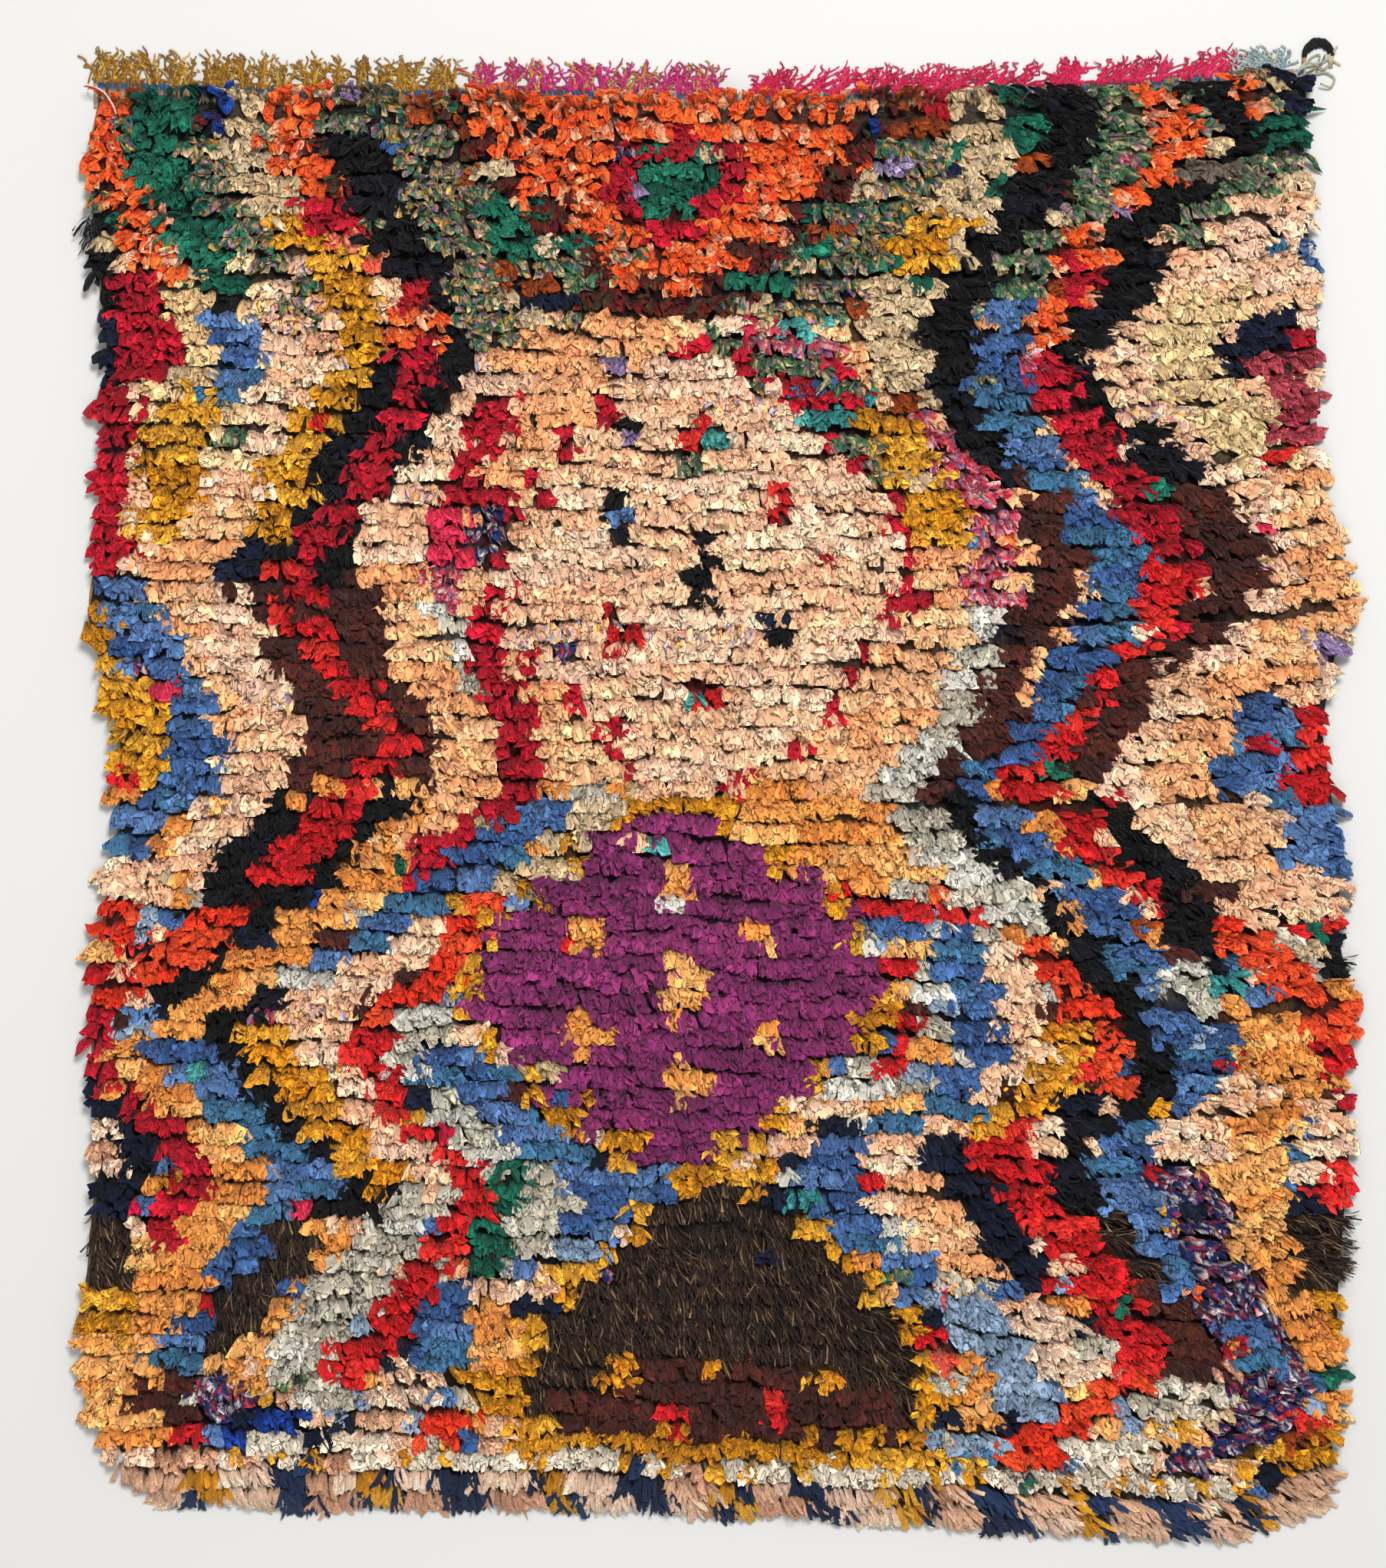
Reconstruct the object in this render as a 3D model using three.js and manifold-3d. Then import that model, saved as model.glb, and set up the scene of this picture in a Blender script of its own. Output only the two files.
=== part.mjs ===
// A boucherouite rug: rows of rag pile on a flat woven ground cloth, with a knotted yarn fringe.
// Millimetres. X runs across the rug, Y runs up to the fringed end, Z runs up from the floor.

import * as THREE from 'three';
import Module from 'manifold-3d';

const wasm = await Module();
wasm.setup();

// Ground cloth: a flat weave whose heading shows past the pile at the fringed end.
const CLOTH_THICKNESS = 3;
const CLOTH_INSET = 17;
const CLOTH_COLUMNS = 14;
const HEADING_LEFT = -747;
const HEADING_RIGHT = 705;
const HEADING_UNDERLAP = 16;
const HEADING_RIBS = 4;
const RIB_DEPTH = 0.9;

// Pile: a lumpy slab of rag rows. Each row leans over the next one towards the plain end.
const CLEARANCE = 0.3;
const PILE_ROWS = 60;
const PILE_COLUMNS = 20;
const PILE_CREST = 35;
const PILE_TROUGH = 24;
const PILE_LUMP = 8;
const CREST_SHARE = 0.72;
const ROW_JITTER = 0.3;
const ROW_WAVE = 4;
const ROW_WAVE_LENGTH = 130;
const ROW_WAVE_STEP = 0.7;
const RIM_HEIGHT = 13;
const RIM_WAVE = 3;
const RIM_ROUNDING = 22;

// Locks: the rag ends that stick out around the rim and lie on the floor.
const SIDE_LOCKS = 27;
const END_LOCKS = 50;
const SIDE_REACH = 13;
const END_REACH = 24;
const END_REACH_SPAN = 8;
const LOCK_ROOT = 11;
const LOCK_ROOT_WIDTH = 17;
const LOCK_ROOT_HEIGHT = 12;
const LOCK_TIP_SCALE = 0.36;
const LOCK_LEAN = 9;

// Fringe: bundles of warp yarn, each bundle tied in a knot on a narrow strip at the heading.
const STRIP_DEPTH = 6;
const STRIP_GAP = 0.5;
const STRIP_HEIGHT = 2.4;
const KNOT_HEIGHT = 7;
const STRANDS_PER_BUNDLE = 3;
const STRAND_WIDTH = 2.8;
const STRAND_HEIGHT = 2.4;
const STRAND_TIP_SCALE = 0.7;
const STRAND_SHORTEST = 0.72;
const STRAND_STEPS = 3;
const STRAND_CURL = 4;
const STRAND_TURN = 5.2;
const STRAND_SPREAD = 7;
const STRAND_ROOT_SPREAD = 2.6;

// Rag tie: a black rag looped into the last yarns at the right corner.
const RAG_WIDTH = 10;
const RAG_HEIGHT = 7;
const RAG_FOOT_SCALE = 0.7;

// The two long edges of the pile, at stations up the rug.
const SIDE_STATIONS = [
  { y: -856, left: -632, right: 704 },
  { y: -825, left: -716, right: 737 },
  { y: -785, left: -744, right: 743 },
  { y: -745, left: -763, right: 744 },
  { y: -602, left: -770, right: 749 },
  { y: -456, left: -757, right: 761 },
  { y: -346, left: -764, right: 755 },
  { y: -273, left: -763, right: 769 },
  { y: -200, left: -757, right: 750 },
  { y: -90, left: -734, right: 750 },
  { y: 57, left: -732, right: 729 },
  { y: 130, left: -752, right: 742 },
  { y: 203, left: -770, right: 764 },
  { y: 276, left: -757, right: 740 },
  { y: 423, left: -750, right: 714 },
  { y: 496, left: -743, right: 724 },
  { y: 642, left: -760, right: 713 },
  { y: 752, left: -770, right: 707 },
  { y: 840, left: -750, right: 713 },
];

// The two short ends, at stations across the rug: plain end, pile at the fringed end, heading edge.
const END_STATIONS = [
  { x: -770, plain: -850, pile: 822, heading: 841 },
  { x: -690, plain: -850, pile: 820, heading: 838 },
  { x: -490, plain: -853, pile: 817, heading: 830 },
  { x: -160, plain: -855, pile: 813, heading: 829 },
  { x: 60, plain: -868, pile: 811, heading: 824 },
  { x: 225, plain: -875, pile: 815, heading: 826 },
  { x: 335, plain: -884, pile: 819, heading: 829 },
  { x: 500, plain: -891, pile: 828, heading: 838 },
  { x: 600, plain: -894, pile: 837, heading: 847 },
  { x: 665, plain: -866, pile: 842, heading: 851 },
  { x: 770, plain: -850, pile: 846, heading: 853 },
];

// Fringe groups by yarn colour: the strip's ends, the last bundle, how far the ends reach and lean.
const FRINGES = [
  { name: 'fringe_ochre', colour: 0xa87a1c, from: -746, to: -309, last: -314, bundles: 18, reach: 37, lean: -3 },
  { name: 'fringe_magenta', colour: 0xb23a78, from: -300, to: 8, last: 2, bundles: 12, reach: 33, lean: 2 },
  { name: 'fringe_pink', colour: 0xd01a56, from: 36, to: 606, last: 600, bundles: 21, reach: 30, lean: 9 },
  { name: 'fringe_pale_blue', colour: 0xa9bcc4, from: 614, to: 740, last: 672, bundles: 4, reach: 24, lean: 7 },
];

// Middle line of the rag tie: its place across the rug, and how far out it lies from the strip.
const RAG_LINE = [
  { x: 699, out: 0.8 },
  { x: 698, out: 19 },
  { x: 708, out: 30 },
  { x: 722, out: 31 },
  { x: 731, out: 21 },
  { x: 730, out: 0.8 },
];

const lerp = THREE.MathUtils.lerp;

// A repeatable value from 0 to 1 for a pair of counters.
function scatter(i, j) {
  const value = Math.sin(i * 12.9898 + j * 78.233) * 43758.5453;
  return value - Math.floor(value);
}

// The value of one column of a station table at a place between its rows.
function between(table, place, column, at) {
  const last = table.length - 1;
  const clamped = THREE.MathUtils.clamp(at, table[0][place], table[last][place]);
  let row = 0;
  while (row < last - 1 && table[row + 1][place] < clamped) {
    row += 1;
  }
  const start = table[row];
  const end = table[row + 1];
  return lerp(start[column], end[column], (clamped - start[place]) / (end[place] - start[place]));
}

function solidFrom(points, triangles) {
  const vertProperties = new Float32Array(points.flat());
  const triVerts = new Uint32Array(triangles.flat());
  return new wasm.Manifold(new wasm.Mesh({ numProp: 3, vertProperties, triVerts }));
}

function meshFrom(solid, name, colour, roughness) {
  const shape = solid.getMesh();
  const geometry = new THREE.BufferGeometry();
  geometry.setAttribute('position', new THREE.BufferAttribute(shape.vertProperties, 3));
  geometry.setIndex(new THREE.BufferAttribute(shape.triVerts, 1));
  geometry.computeVertexNormals();
  const material = new THREE.MeshStandardMaterial({ color: colour, roughness, metalness: 0 });
  const mesh = new THREE.Mesh(geometry, material);
  mesh.name = name;
  return mesh;
}

// A closed solid from a grid of top points over a flat underside. Rows run down the rug (-Y)
// and columns run across it (+X), so that the top faces up.
function reliefSolid(grid, underside) {
  const rows = grid.length;
  const columns = grid[0].length;
  const points = grid.flat().map((point) => [point.x, point.y, point.z]);
  const triangles = [];
  const at = (row, column) => row * columns + column;
  for (let row = 0; row < rows - 1; row += 1) {
    for (let column = 0; column < columns - 1; column += 1) {
      triangles.push([at(row, column), at(row + 1, column), at(row + 1, column + 1)]);
      triangles.push([at(row, column), at(row + 1, column + 1), at(row, column + 1)]);
    }
  }
  const rim = [];
  for (let row = 0; row < rows; row += 1) {
    rim.push(at(row, 0));
  }
  for (let column = 1; column < columns; column += 1) {
    rim.push(at(rows - 1, column));
  }
  for (let row = rows - 2; row >= 0; row -= 1) {
    rim.push(at(row, columns - 1));
  }
  for (let column = columns - 2; column > 0; column -= 1) {
    rim.push(at(0, column));
  }
  const feet = rim.map((index) => {
    points.push([points[index][0], points[index][1], underside]);
    return points.length - 1;
  });
  for (let step = 0; step < rim.length; step += 1) {
    const next = (step + 1) % rim.length;
    triangles.push([rim[step], feet[step], feet[next]]);
    triangles.push([rim[step], feet[next], rim[next]]);
  }
  const contour = feet.map((index) => new THREE.Vector2(points[index][0], points[index][1]));
  for (const face of THREE.ShapeUtils.triangulateShape(contour, [])) {
    triangles.push([feet[face[0]], feet[face[2]], feet[face[1]]]);
  }
  return solidFrom(points, triangles);
}

// A tapering length of yarn or rag that lies flat on the floor along a line in plan.
// The profile is a convex outline of side and height, listed clockwise from its left foot.
function laidLength(line, profile, scales) {
  const sides = profile.length;
  const points = [];
  line.forEach((place, step) => {
    const before = line[Math.max(step - 1, 0)];
    const after = line[Math.min(step + 1, line.length - 1)];
    const along = new THREE.Vector2(after.x - before.x, after.y - before.y).normalize();
    for (const corner of profile) {
      const side = corner.side * scales[step];
      points.push([place.x + along.y * side, place.y - along.x * side, corner.height * scales[step]]);
    }
  });
  const triangles = [];
  for (let step = 0; step < line.length - 1; step += 1) {
    for (let corner = 0; corner < sides; corner += 1) {
      const next = (corner + 1) % sides;
      const near = step * sides;
      const far = near + sides;
      triangles.push([near + corner, far + next, far + corner]);
      triangles.push([near + corner, near + next, far + next]);
    }
  }
  const end = (line.length - 1) * sides;
  for (let corner = 1; corner < sides - 1; corner += 1) {
    triangles.push([0, corner + 1, corner]);
    triangles.push([end, end + corner, end + corner + 1]);
  }
  return solidFrom(points, triangles);
}

function boxProfile(width, height) {
  return [
    { side: -width / 2, height: 0 },
    { side: -width / 2, height },
    { side: width / 2, height },
    { side: width / 2, height: 0 },
  ];
}

// Ground cloth.

// Y positions of the cloth's plain rows, from the heading down to the plain end.
const CLOTH_ROWS = SIDE_STATIONS.map((station) => station.y).reverse().slice(1);

function headingX(column) {
  return lerp(HEADING_LEFT, HEADING_RIGHT, column / CLOTH_COLUMNS);
}

function clothRim(y, margin) {
  return {
    left: between(SIDE_STATIONS, 'y', 'left', y) + CLOTH_INSET - margin,
    right: between(SIDE_STATIONS, 'y', 'right', y) - CLOTH_INSET + margin,
  };
}

// The cloth's grid. A margin widens it and a level lifts it, for the hollow that the pile keeps.
function clothGrid(margin, lift, ribDepth) {
  const grid = [];
  const lines = HEADING_RIBS * 2;
  for (let line = 0; line <= lines; line += 1) {
    const row = [];
    for (let column = 0; column <= CLOTH_COLUMNS; column += 1) {
      const x = headingX(column);
      const top = between(END_STATIONS, 'x', 'heading', x);
      const low = between(END_STATIONS, 'x', 'pile', x) - HEADING_UNDERLAP;
      const outward = line === 0 ? margin : 0;
      const edge = column === 0 ? -margin : column === CLOTH_COLUMNS ? margin : 0;
      const groove = line % 2 === 0 ? 0 : ribDepth;
      row.push({ x: x + edge, y: lerp(top, low, line / lines) + outward, z: CLOTH_THICKNESS + lift - groove });
    }
    grid.push(row);
  }
  CLOTH_ROWS.forEach((y, index) => {
    const rim = clothRim(y, margin);
    const last = index === CLOTH_ROWS.length - 1;
    const row = [];
    for (let column = 0; column <= CLOTH_COLUMNS; column += 1) {
      const x = lerp(rim.left, rim.right, column / CLOTH_COLUMNS);
      const end = between(END_STATIONS, 'x', 'plain', x) + END_REACH + CLOTH_INSET - margin;
      row.push({ x, y: last ? end : Math.max(y, end + CLOTH_INSET), z: CLOTH_THICKNESS + lift });
    }
    grid.push(row);
  });
  return grid;
}

function groundCloth() {
  return reliefSolid(clothGrid(0, 0, RIB_DEPTH), 0);
}

// Pile.

// How far down the rug each row of pile starts, from 0 at the fringed end to 1 at the plain end.
function rowStarts() {
  const starts = [0];
  for (let row = 0; row < PILE_ROWS; row += 1) {
    starts.push(starts[row] + 1 + ROW_JITTER * (scatter(row, 3) - 0.5));
  }
  return starts.map((start) => start / starts[PILE_ROWS]);
}

// Every row of pile gives two lines of points: its dark seam and its standing crest.
function pileLines() {
  const starts = rowStarts();
  const lines = [];
  for (let row = 0; row < PILE_ROWS; row += 1) {
    lines.push({ down: starts[row], crest: false, row });
    lines.push({ down: lerp(starts[row], starts[row + 1], CREST_SHARE), crest: true, row });
  }
  lines.push({ down: 1, crest: false, row: PILE_ROWS });
  return lines;
}

function pilePoint(line, column) {
  const firstSide = SIDE_STATIONS[0].y;
  const lastSide = SIDE_STATIONS[SIDE_STATIONS.length - 1].y;
  const stationY = lerp(lastSide, firstSide, line.down);
  const wave = line.crest ? RIM_WAVE : -RIM_WAVE;
  const left = between(SIDE_STATIONS, 'y', 'left', stationY) + SIDE_REACH - wave;
  const right = between(SIDE_STATIONS, 'y', 'right', stationY) - SIDE_REACH + wave;
  const inner = PILE_COLUMNS - 2;
  let x = lerp(left + RIM_ROUNDING, right - RIM_ROUNDING, (column - 1) / inner);
  if (column === 0) {
    x = left;
  }
  if (column === PILE_COLUMNS) {
    x = right;
  }
  const top = between(END_STATIONS, 'x', 'pile', x);
  const bottom = between(END_STATIONS, 'x', 'plain', x) + END_REACH;
  const onRim = line.down === 0 || line.down === 1;
  const drift = onRim ? 0 : ROW_WAVE * Math.sin(x / ROW_WAVE_LENGTH + line.row * ROW_WAVE_STEP);
  const y = lerp(top, bottom, line.down) + drift;
  const sideRim = column === 0 || column === PILE_COLUMNS;
  const lump = PILE_LUMP * (scatter(line.row, column) - 0.5);
  let z = (line.crest ? PILE_CREST : PILE_TROUGH) + lump;
  if (sideRim || onRim) {
    z = RIM_HEIGHT + lump / 2;
  }
  return { x, y, z };
}

function pileGrid() {
  return pileLines().map((line) => {
    const row = [];
    for (let column = 0; column <= PILE_COLUMNS; column += 1) {
      row.push(pilePoint(line, column));
    }
    return row;
  });
}

function lock(foot, outward, reach, lean) {
  const line = [
    { x: foot.x - outward.x * LOCK_ROOT, y: foot.y - outward.y * LOCK_ROOT },
    { x: foot.x + outward.x * reach + lean.x, y: foot.y + outward.y * reach + lean.y },
  ];
  return laidLength(line, boxProfile(LOCK_ROOT_WIDTH, LOCK_ROOT_HEIGHT), [1, LOCK_TIP_SCALE]);
}

function sideLocks(grid) {
  const crests = grid.filter((row, index) => index % 2 === 1);
  const locks = [];
  for (let count = 0; count < SIDE_LOCKS; count += 1) {
    const row = crests[Math.floor(((count + 0.5) * crests.length) / SIDE_LOCKS)];
    const sag = -LOCK_LEAN * scatter(count, 11);
    const reach = SIDE_REACH - RIM_WAVE;
    locks.push(lock(row[0], { x: -1, y: 0 }, reach, { x: 0, y: sag }));
    locks.push(lock(row[PILE_COLUMNS], { x: 1, y: 0 }, reach, { x: 0, y: sag }));
  }
  return locks;
}

function endLocks(grid) {
  const rim = grid[grid.length - 1];
  const locks = [];
  for (let count = 0; count < END_LOCKS; count += 1) {
    const place = ((count + 0.5) * PILE_COLUMNS) / END_LOCKS;
    const column = Math.floor(place);
    const foot = {
      x: lerp(rim[column].x, rim[column + 1].x, place - column),
      y: lerp(rim[column].y, rim[column + 1].y, place - column),
    };
    const reach = END_REACH - END_REACH_SPAN * scatter(count, 23);
    const lean = LOCK_LEAN * (scatter(count, 29) - 0.5);
    locks.push(lock(foot, { x: 0, y: -1 }, reach, { x: lean, y: 0 }));
  }
  return locks;
}

function pileSlab() {
  const grid = pileGrid();
  const slab = reliefSolid(grid, 0);
  const shag = wasm.Manifold.union([slab, ...sideLocks(grid), ...endLocks(grid)]);
  const hollow = reliefSolid(clothGrid(CLEARANCE, CLEARANCE, 0), -CLOTH_THICKNESS);
  return shag.subtract(hollow);
}

// Fringe.

// The heading's outer edge as the ground cloth has it, straight between its columns and past its end.
function headingEdge(x) {
  const share = (x - HEADING_LEFT) / (HEADING_RIGHT - HEADING_LEFT);
  const column = THREE.MathUtils.clamp(Math.floor(share * CLOTH_COLUMNS), 0, CLOTH_COLUMNS - 1);
  const near = headingX(column);
  const far = headingX(column + 1);
  const nearY = between(END_STATIONS, 'x', 'heading', near);
  const farY = between(END_STATIONS, 'x', 'heading', far);
  return lerp(nearY, farY, (x - near) / (far - near));
}

function bundlePlaces(fringe) {
  const pitch = (fringe.last - fringe.from) / fringe.bundles;
  const places = [];
  for (let bundle = 0; bundle < fringe.bundles; bundle += 1) {
    places.push(fringe.from + pitch * (bundle + 0.5));
  }
  return places;
}

// The strip that roots a group of yarns, raised into a knot at each bundle.
function fringeStrip(fringe) {
  const places = bundlePlaces(fringe);
  const pitch = places[1] - places[0];
  const stations = [{ x: fringe.from, height: STRIP_HEIGHT }];
  places.forEach((x, index) => {
    stations.push({ x, height: KNOT_HEIGHT });
    stations.push({ x: index < places.length - 1 ? x + pitch / 2 : fringe.to, height: STRIP_HEIGHT });
  });
  const outer = stations.map(({ x, height }) => {
    return { x, y: headingEdge(x) + STRIP_GAP + STRIP_DEPTH, z: height };
  });
  const inner = stations.map(({ x, height }) => {
    return { x, y: headingEdge(x) + STRIP_GAP, z: height };
  });
  return reliefSolid([outer, inner], 0);
}

function strandLine(fringe, rootX, bundle, strand) {
  const middle = (STRANDS_PER_BUNDLE - 1) / 2;
  const offset = strand - middle;
  const from = rootX + offset * STRAND_ROOT_SPREAD;
  const length = fringe.reach * lerp(STRAND_SHORTEST, 1, scatter(bundle, strand + 5));
  const rootY = headingEdge(rootX) + STRIP_GAP + STRIP_DEPTH / 2;
  const line = [];
  for (let step = 0; step <= STRAND_STEPS; step += 1) {
    const along = step / STRAND_STEPS;
    const curl = STRAND_CURL * along * Math.sin(along * STRAND_TURN + bundle);
    const x = from + (offset * STRAND_SPREAD + fringe.lean) * along + curl;
    line.push({ x, y: rootY + length * along });
  }
  return line;
}

function fringeGroup(fringe) {
  const profile = [
    { side: -STRAND_WIDTH / 2, height: 0 },
    { side: 0, height: STRAND_HEIGHT },
    { side: STRAND_WIDTH / 2, height: 0 },
  ];
  const scales = new Array(STRAND_STEPS + 1).fill(1);
  scales[STRAND_STEPS] = STRAND_TIP_SCALE;
  const pieces = [fringeStrip(fringe)];
  bundlePlaces(fringe).forEach((x, bundle) => {
    for (let strand = 0; strand < STRANDS_PER_BUNDLE; strand += 1) {
      pieces.push(laidLength(strandLine(fringe, x, bundle, strand), profile, scales));
    }
  });
  return wasm.Manifold.union(pieces);
}

// Rag tie.

// A loop whose two feet lie against the strip.
function ragTie() {
  const line = RAG_LINE.map(({ x, out }) => ({ x, y: headingEdge(x) + STRIP_GAP + STRIP_DEPTH + out }));
  const scales = line.map((place, index) => (index === 0 || index === line.length - 1 ? RAG_FOOT_SCALE : 1));
  return laidLength(line, boxProfile(RAG_WIDTH, RAG_HEIGHT), scales);
}

// The rug, set with its origin on the floor under the middle of its outline.

const rug = new THREE.Group();
rug.add(meshFrom(groundCloth(), 'ground_cloth', 0x8a7359, 0.95));
rug.add(meshFrom(pileSlab(), 'pile_slab', 0xd8a77a, 1));
for (const fringe of FRINGES) {
  rug.add(meshFrom(fringeGroup(fringe), fringe.name, fringe.colour, 0.95));
}
rug.add(meshFrom(ragTie(), 'rag_tie', 0x17171a, 1));

const outline = new THREE.Box3().setFromObject(rug);
rug.position.set(-(outline.min.x + outline.max.x) / 2, -(outline.min.y + outline.max.y) / 2, -outline.min.z);

export default rug;
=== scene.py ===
"""A boucherouite rug: rows of rag knots on a woven ground, with a knotted yarn fringe at one end."""
import math

import bpy
import numpy as np
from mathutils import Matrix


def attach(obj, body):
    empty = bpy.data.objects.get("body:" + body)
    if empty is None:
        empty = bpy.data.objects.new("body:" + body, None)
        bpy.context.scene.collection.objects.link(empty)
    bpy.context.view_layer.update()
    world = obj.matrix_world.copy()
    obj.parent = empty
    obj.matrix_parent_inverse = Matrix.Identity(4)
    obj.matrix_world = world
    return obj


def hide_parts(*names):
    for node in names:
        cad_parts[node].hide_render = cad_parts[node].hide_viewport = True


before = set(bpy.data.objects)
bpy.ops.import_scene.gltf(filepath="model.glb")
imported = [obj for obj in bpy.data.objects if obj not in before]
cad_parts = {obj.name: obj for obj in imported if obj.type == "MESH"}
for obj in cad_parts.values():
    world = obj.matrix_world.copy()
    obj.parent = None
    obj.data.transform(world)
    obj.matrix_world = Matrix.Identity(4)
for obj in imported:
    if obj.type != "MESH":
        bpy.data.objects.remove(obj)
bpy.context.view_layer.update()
rng = np.random.default_rng(41)

MM = 0.001
SHIFT = np.array((1.89, -1.63, 0.0))  # from the drawing's zero to the middle of the part's box

# y, left edge, right edge of the pile, in millimetres
SIDES = np.array((
    (-856, -632, 704), (-825, -716, 737), (-785, -744, 743), (-745, -763, 744), (-602, -770, 749),
    (-456, -757, 761), (-346, -764, 755), (-273, -763, 769), (-200, -757, 750), (-90, -734, 750),
    (57, -732, 729), (130, -752, 742), (203, -770, 764), (276, -757, 740), (423, -750, 714),
    (496, -743, 724), (642, -760, 713), (752, -770, 707), (840, -750, 713),
), float)
# x, plain end, last pile row, woven heading's edge
ENDS = np.array((
    (-770, -850, 822, 841), (-690, -850, 820, 838), (-490, -853, 817, 830), (-160, -855, 813, 829),
    (60, -868, 811, 824), (225, -875, 815, 826), (335, -884, 819, 829), (500, -891, 828, 838),
    (600, -894, 837, 847), (665, -866, 842, 851), (770, -850, 846, 853),
), float)


def line_of(table, column):
    """A column of the table as a function of its first column."""
    return lambda at: np.interp(at, table[:, 0], table[:, column])


left_edge, right_edge = line_of(SIDES, 1), line_of(SIDES, 2)
plain_end, pile_end, heading_edge = line_of(ENDS, 1), line_of(ENDS, 2), line_of(ENDS, 3)

# Cloths in the rag bag, each with its dyes as sRGB colours
CLOTHS = {
    "orange": ((250, 116, 54), (252, 130, 68), (242, 96, 46), (250, 108, 52), (254, 180, 142)),
    "flame": ((228, 66, 36), (236, 92, 52)),
    "coral": ((226, 100, 78), (240, 150, 120)),
    "crimson": ((198, 32, 58), (178, 28, 50)),
    "scarlet": ((214, 42, 46), (196, 34, 40), (222, 60, 52)),
    "rose": ((204, 30, 74), (214, 60, 92)),
    "maroon": ((178, 78, 90), (154, 58, 72)),
    "mustard": ((222, 162, 46), (204, 144, 34), (226, 172, 64)),
    "amber": ((220, 150, 34), (226, 166, 60)),
    "tan": ((234, 164, 90), (224, 150, 76), (240, 180, 114)),
    "sprig": ((252, 206, 172), (248, 198, 164), (252, 212, 184), (250, 204, 170), (226, 140, 132),
              (150, 156, 190), (234, 190, 84)),
    "peach": ((246, 186, 138), (240, 174, 124), (248, 196, 152)),
    "cream": ((252, 206, 172), (246, 194, 158), (252, 212, 184)),
    "beige": ((212, 190, 156), (200, 176, 140)),
    "straw": ((228, 198, 152), (218, 186, 140), (238, 208, 166)),
    "olive": ((228, 202, 158), (216, 190, 146)),
    "pale": ((200, 194, 178), (188, 180, 164), (210, 206, 196)),
    "white": ((224, 214, 196), (212, 200, 182)),
    "sky": ((154, 172, 190), (140, 160, 182)),
    "denim": ((82, 116, 164), (66, 98, 146), (100, 132, 176), (74, 120, 152)),
    "blue": ((36, 78, 160), (30, 64, 138)),
    "navy": ((28, 38, 64), (22, 30, 52)),
    "ink": ((48, 70, 106), (36, 50, 80), (42, 58, 90)),
    "black": ((14, 13, 15), (18, 18, 23), (26, 28, 40)),
    "chocolate": ((92, 42, 30), (76, 34, 24)),
    "wool": ((60, 42, 32), (50, 34, 26), (78, 56, 42), (70, 48, 36), (146, 120, 92), (92, 68, 50),
             (56, 38, 28)),
    "purple": ((150, 58, 116), (134, 50, 106)),
    "teal": ((34, 116, 94), (28, 100, 82), (44, 128, 104)),
    "garden": ((46, 112, 88), (50, 118, 92), (70, 130, 100), (40, 96, 80), (150, 106, 150), (206, 174, 130),
               (186, 160, 128), (204, 150, 60), (34, 70, 66)),
    "meadow": ((104, 134, 98), (64, 112, 84), (90, 130, 90), (198, 182, 134), (170, 120, 140), (80, 120, 90),
               (56, 90, 80)),
    "berry": ((124, 32, 36), (60, 70, 44), (96, 26, 30)),
    "tweed": ((200, 58, 82), (126, 112, 150), (212, 96, 106), (180, 44, 66), (224, 178, 176)),
    "print": ((36, 52, 110), (206, 196, 196), (30, 40, 80), (44, 60, 116), (170, 60, 60), (30, 44, 96)),
    "rust": ((166, 84, 30), (150, 72, 28)),
    "blush": ((238, 198, 170), (228, 184, 154), (242, 208, 184), (216, 168, 138)),
    "aqua": ((70, 150, 150), (90, 170, 165)),
    "lilac": ((150, 130, 166), (166, 150, 180)),
    "grey": ((112, 100, 88), (90, 84, 80)),
}

CM = 10.0
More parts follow.
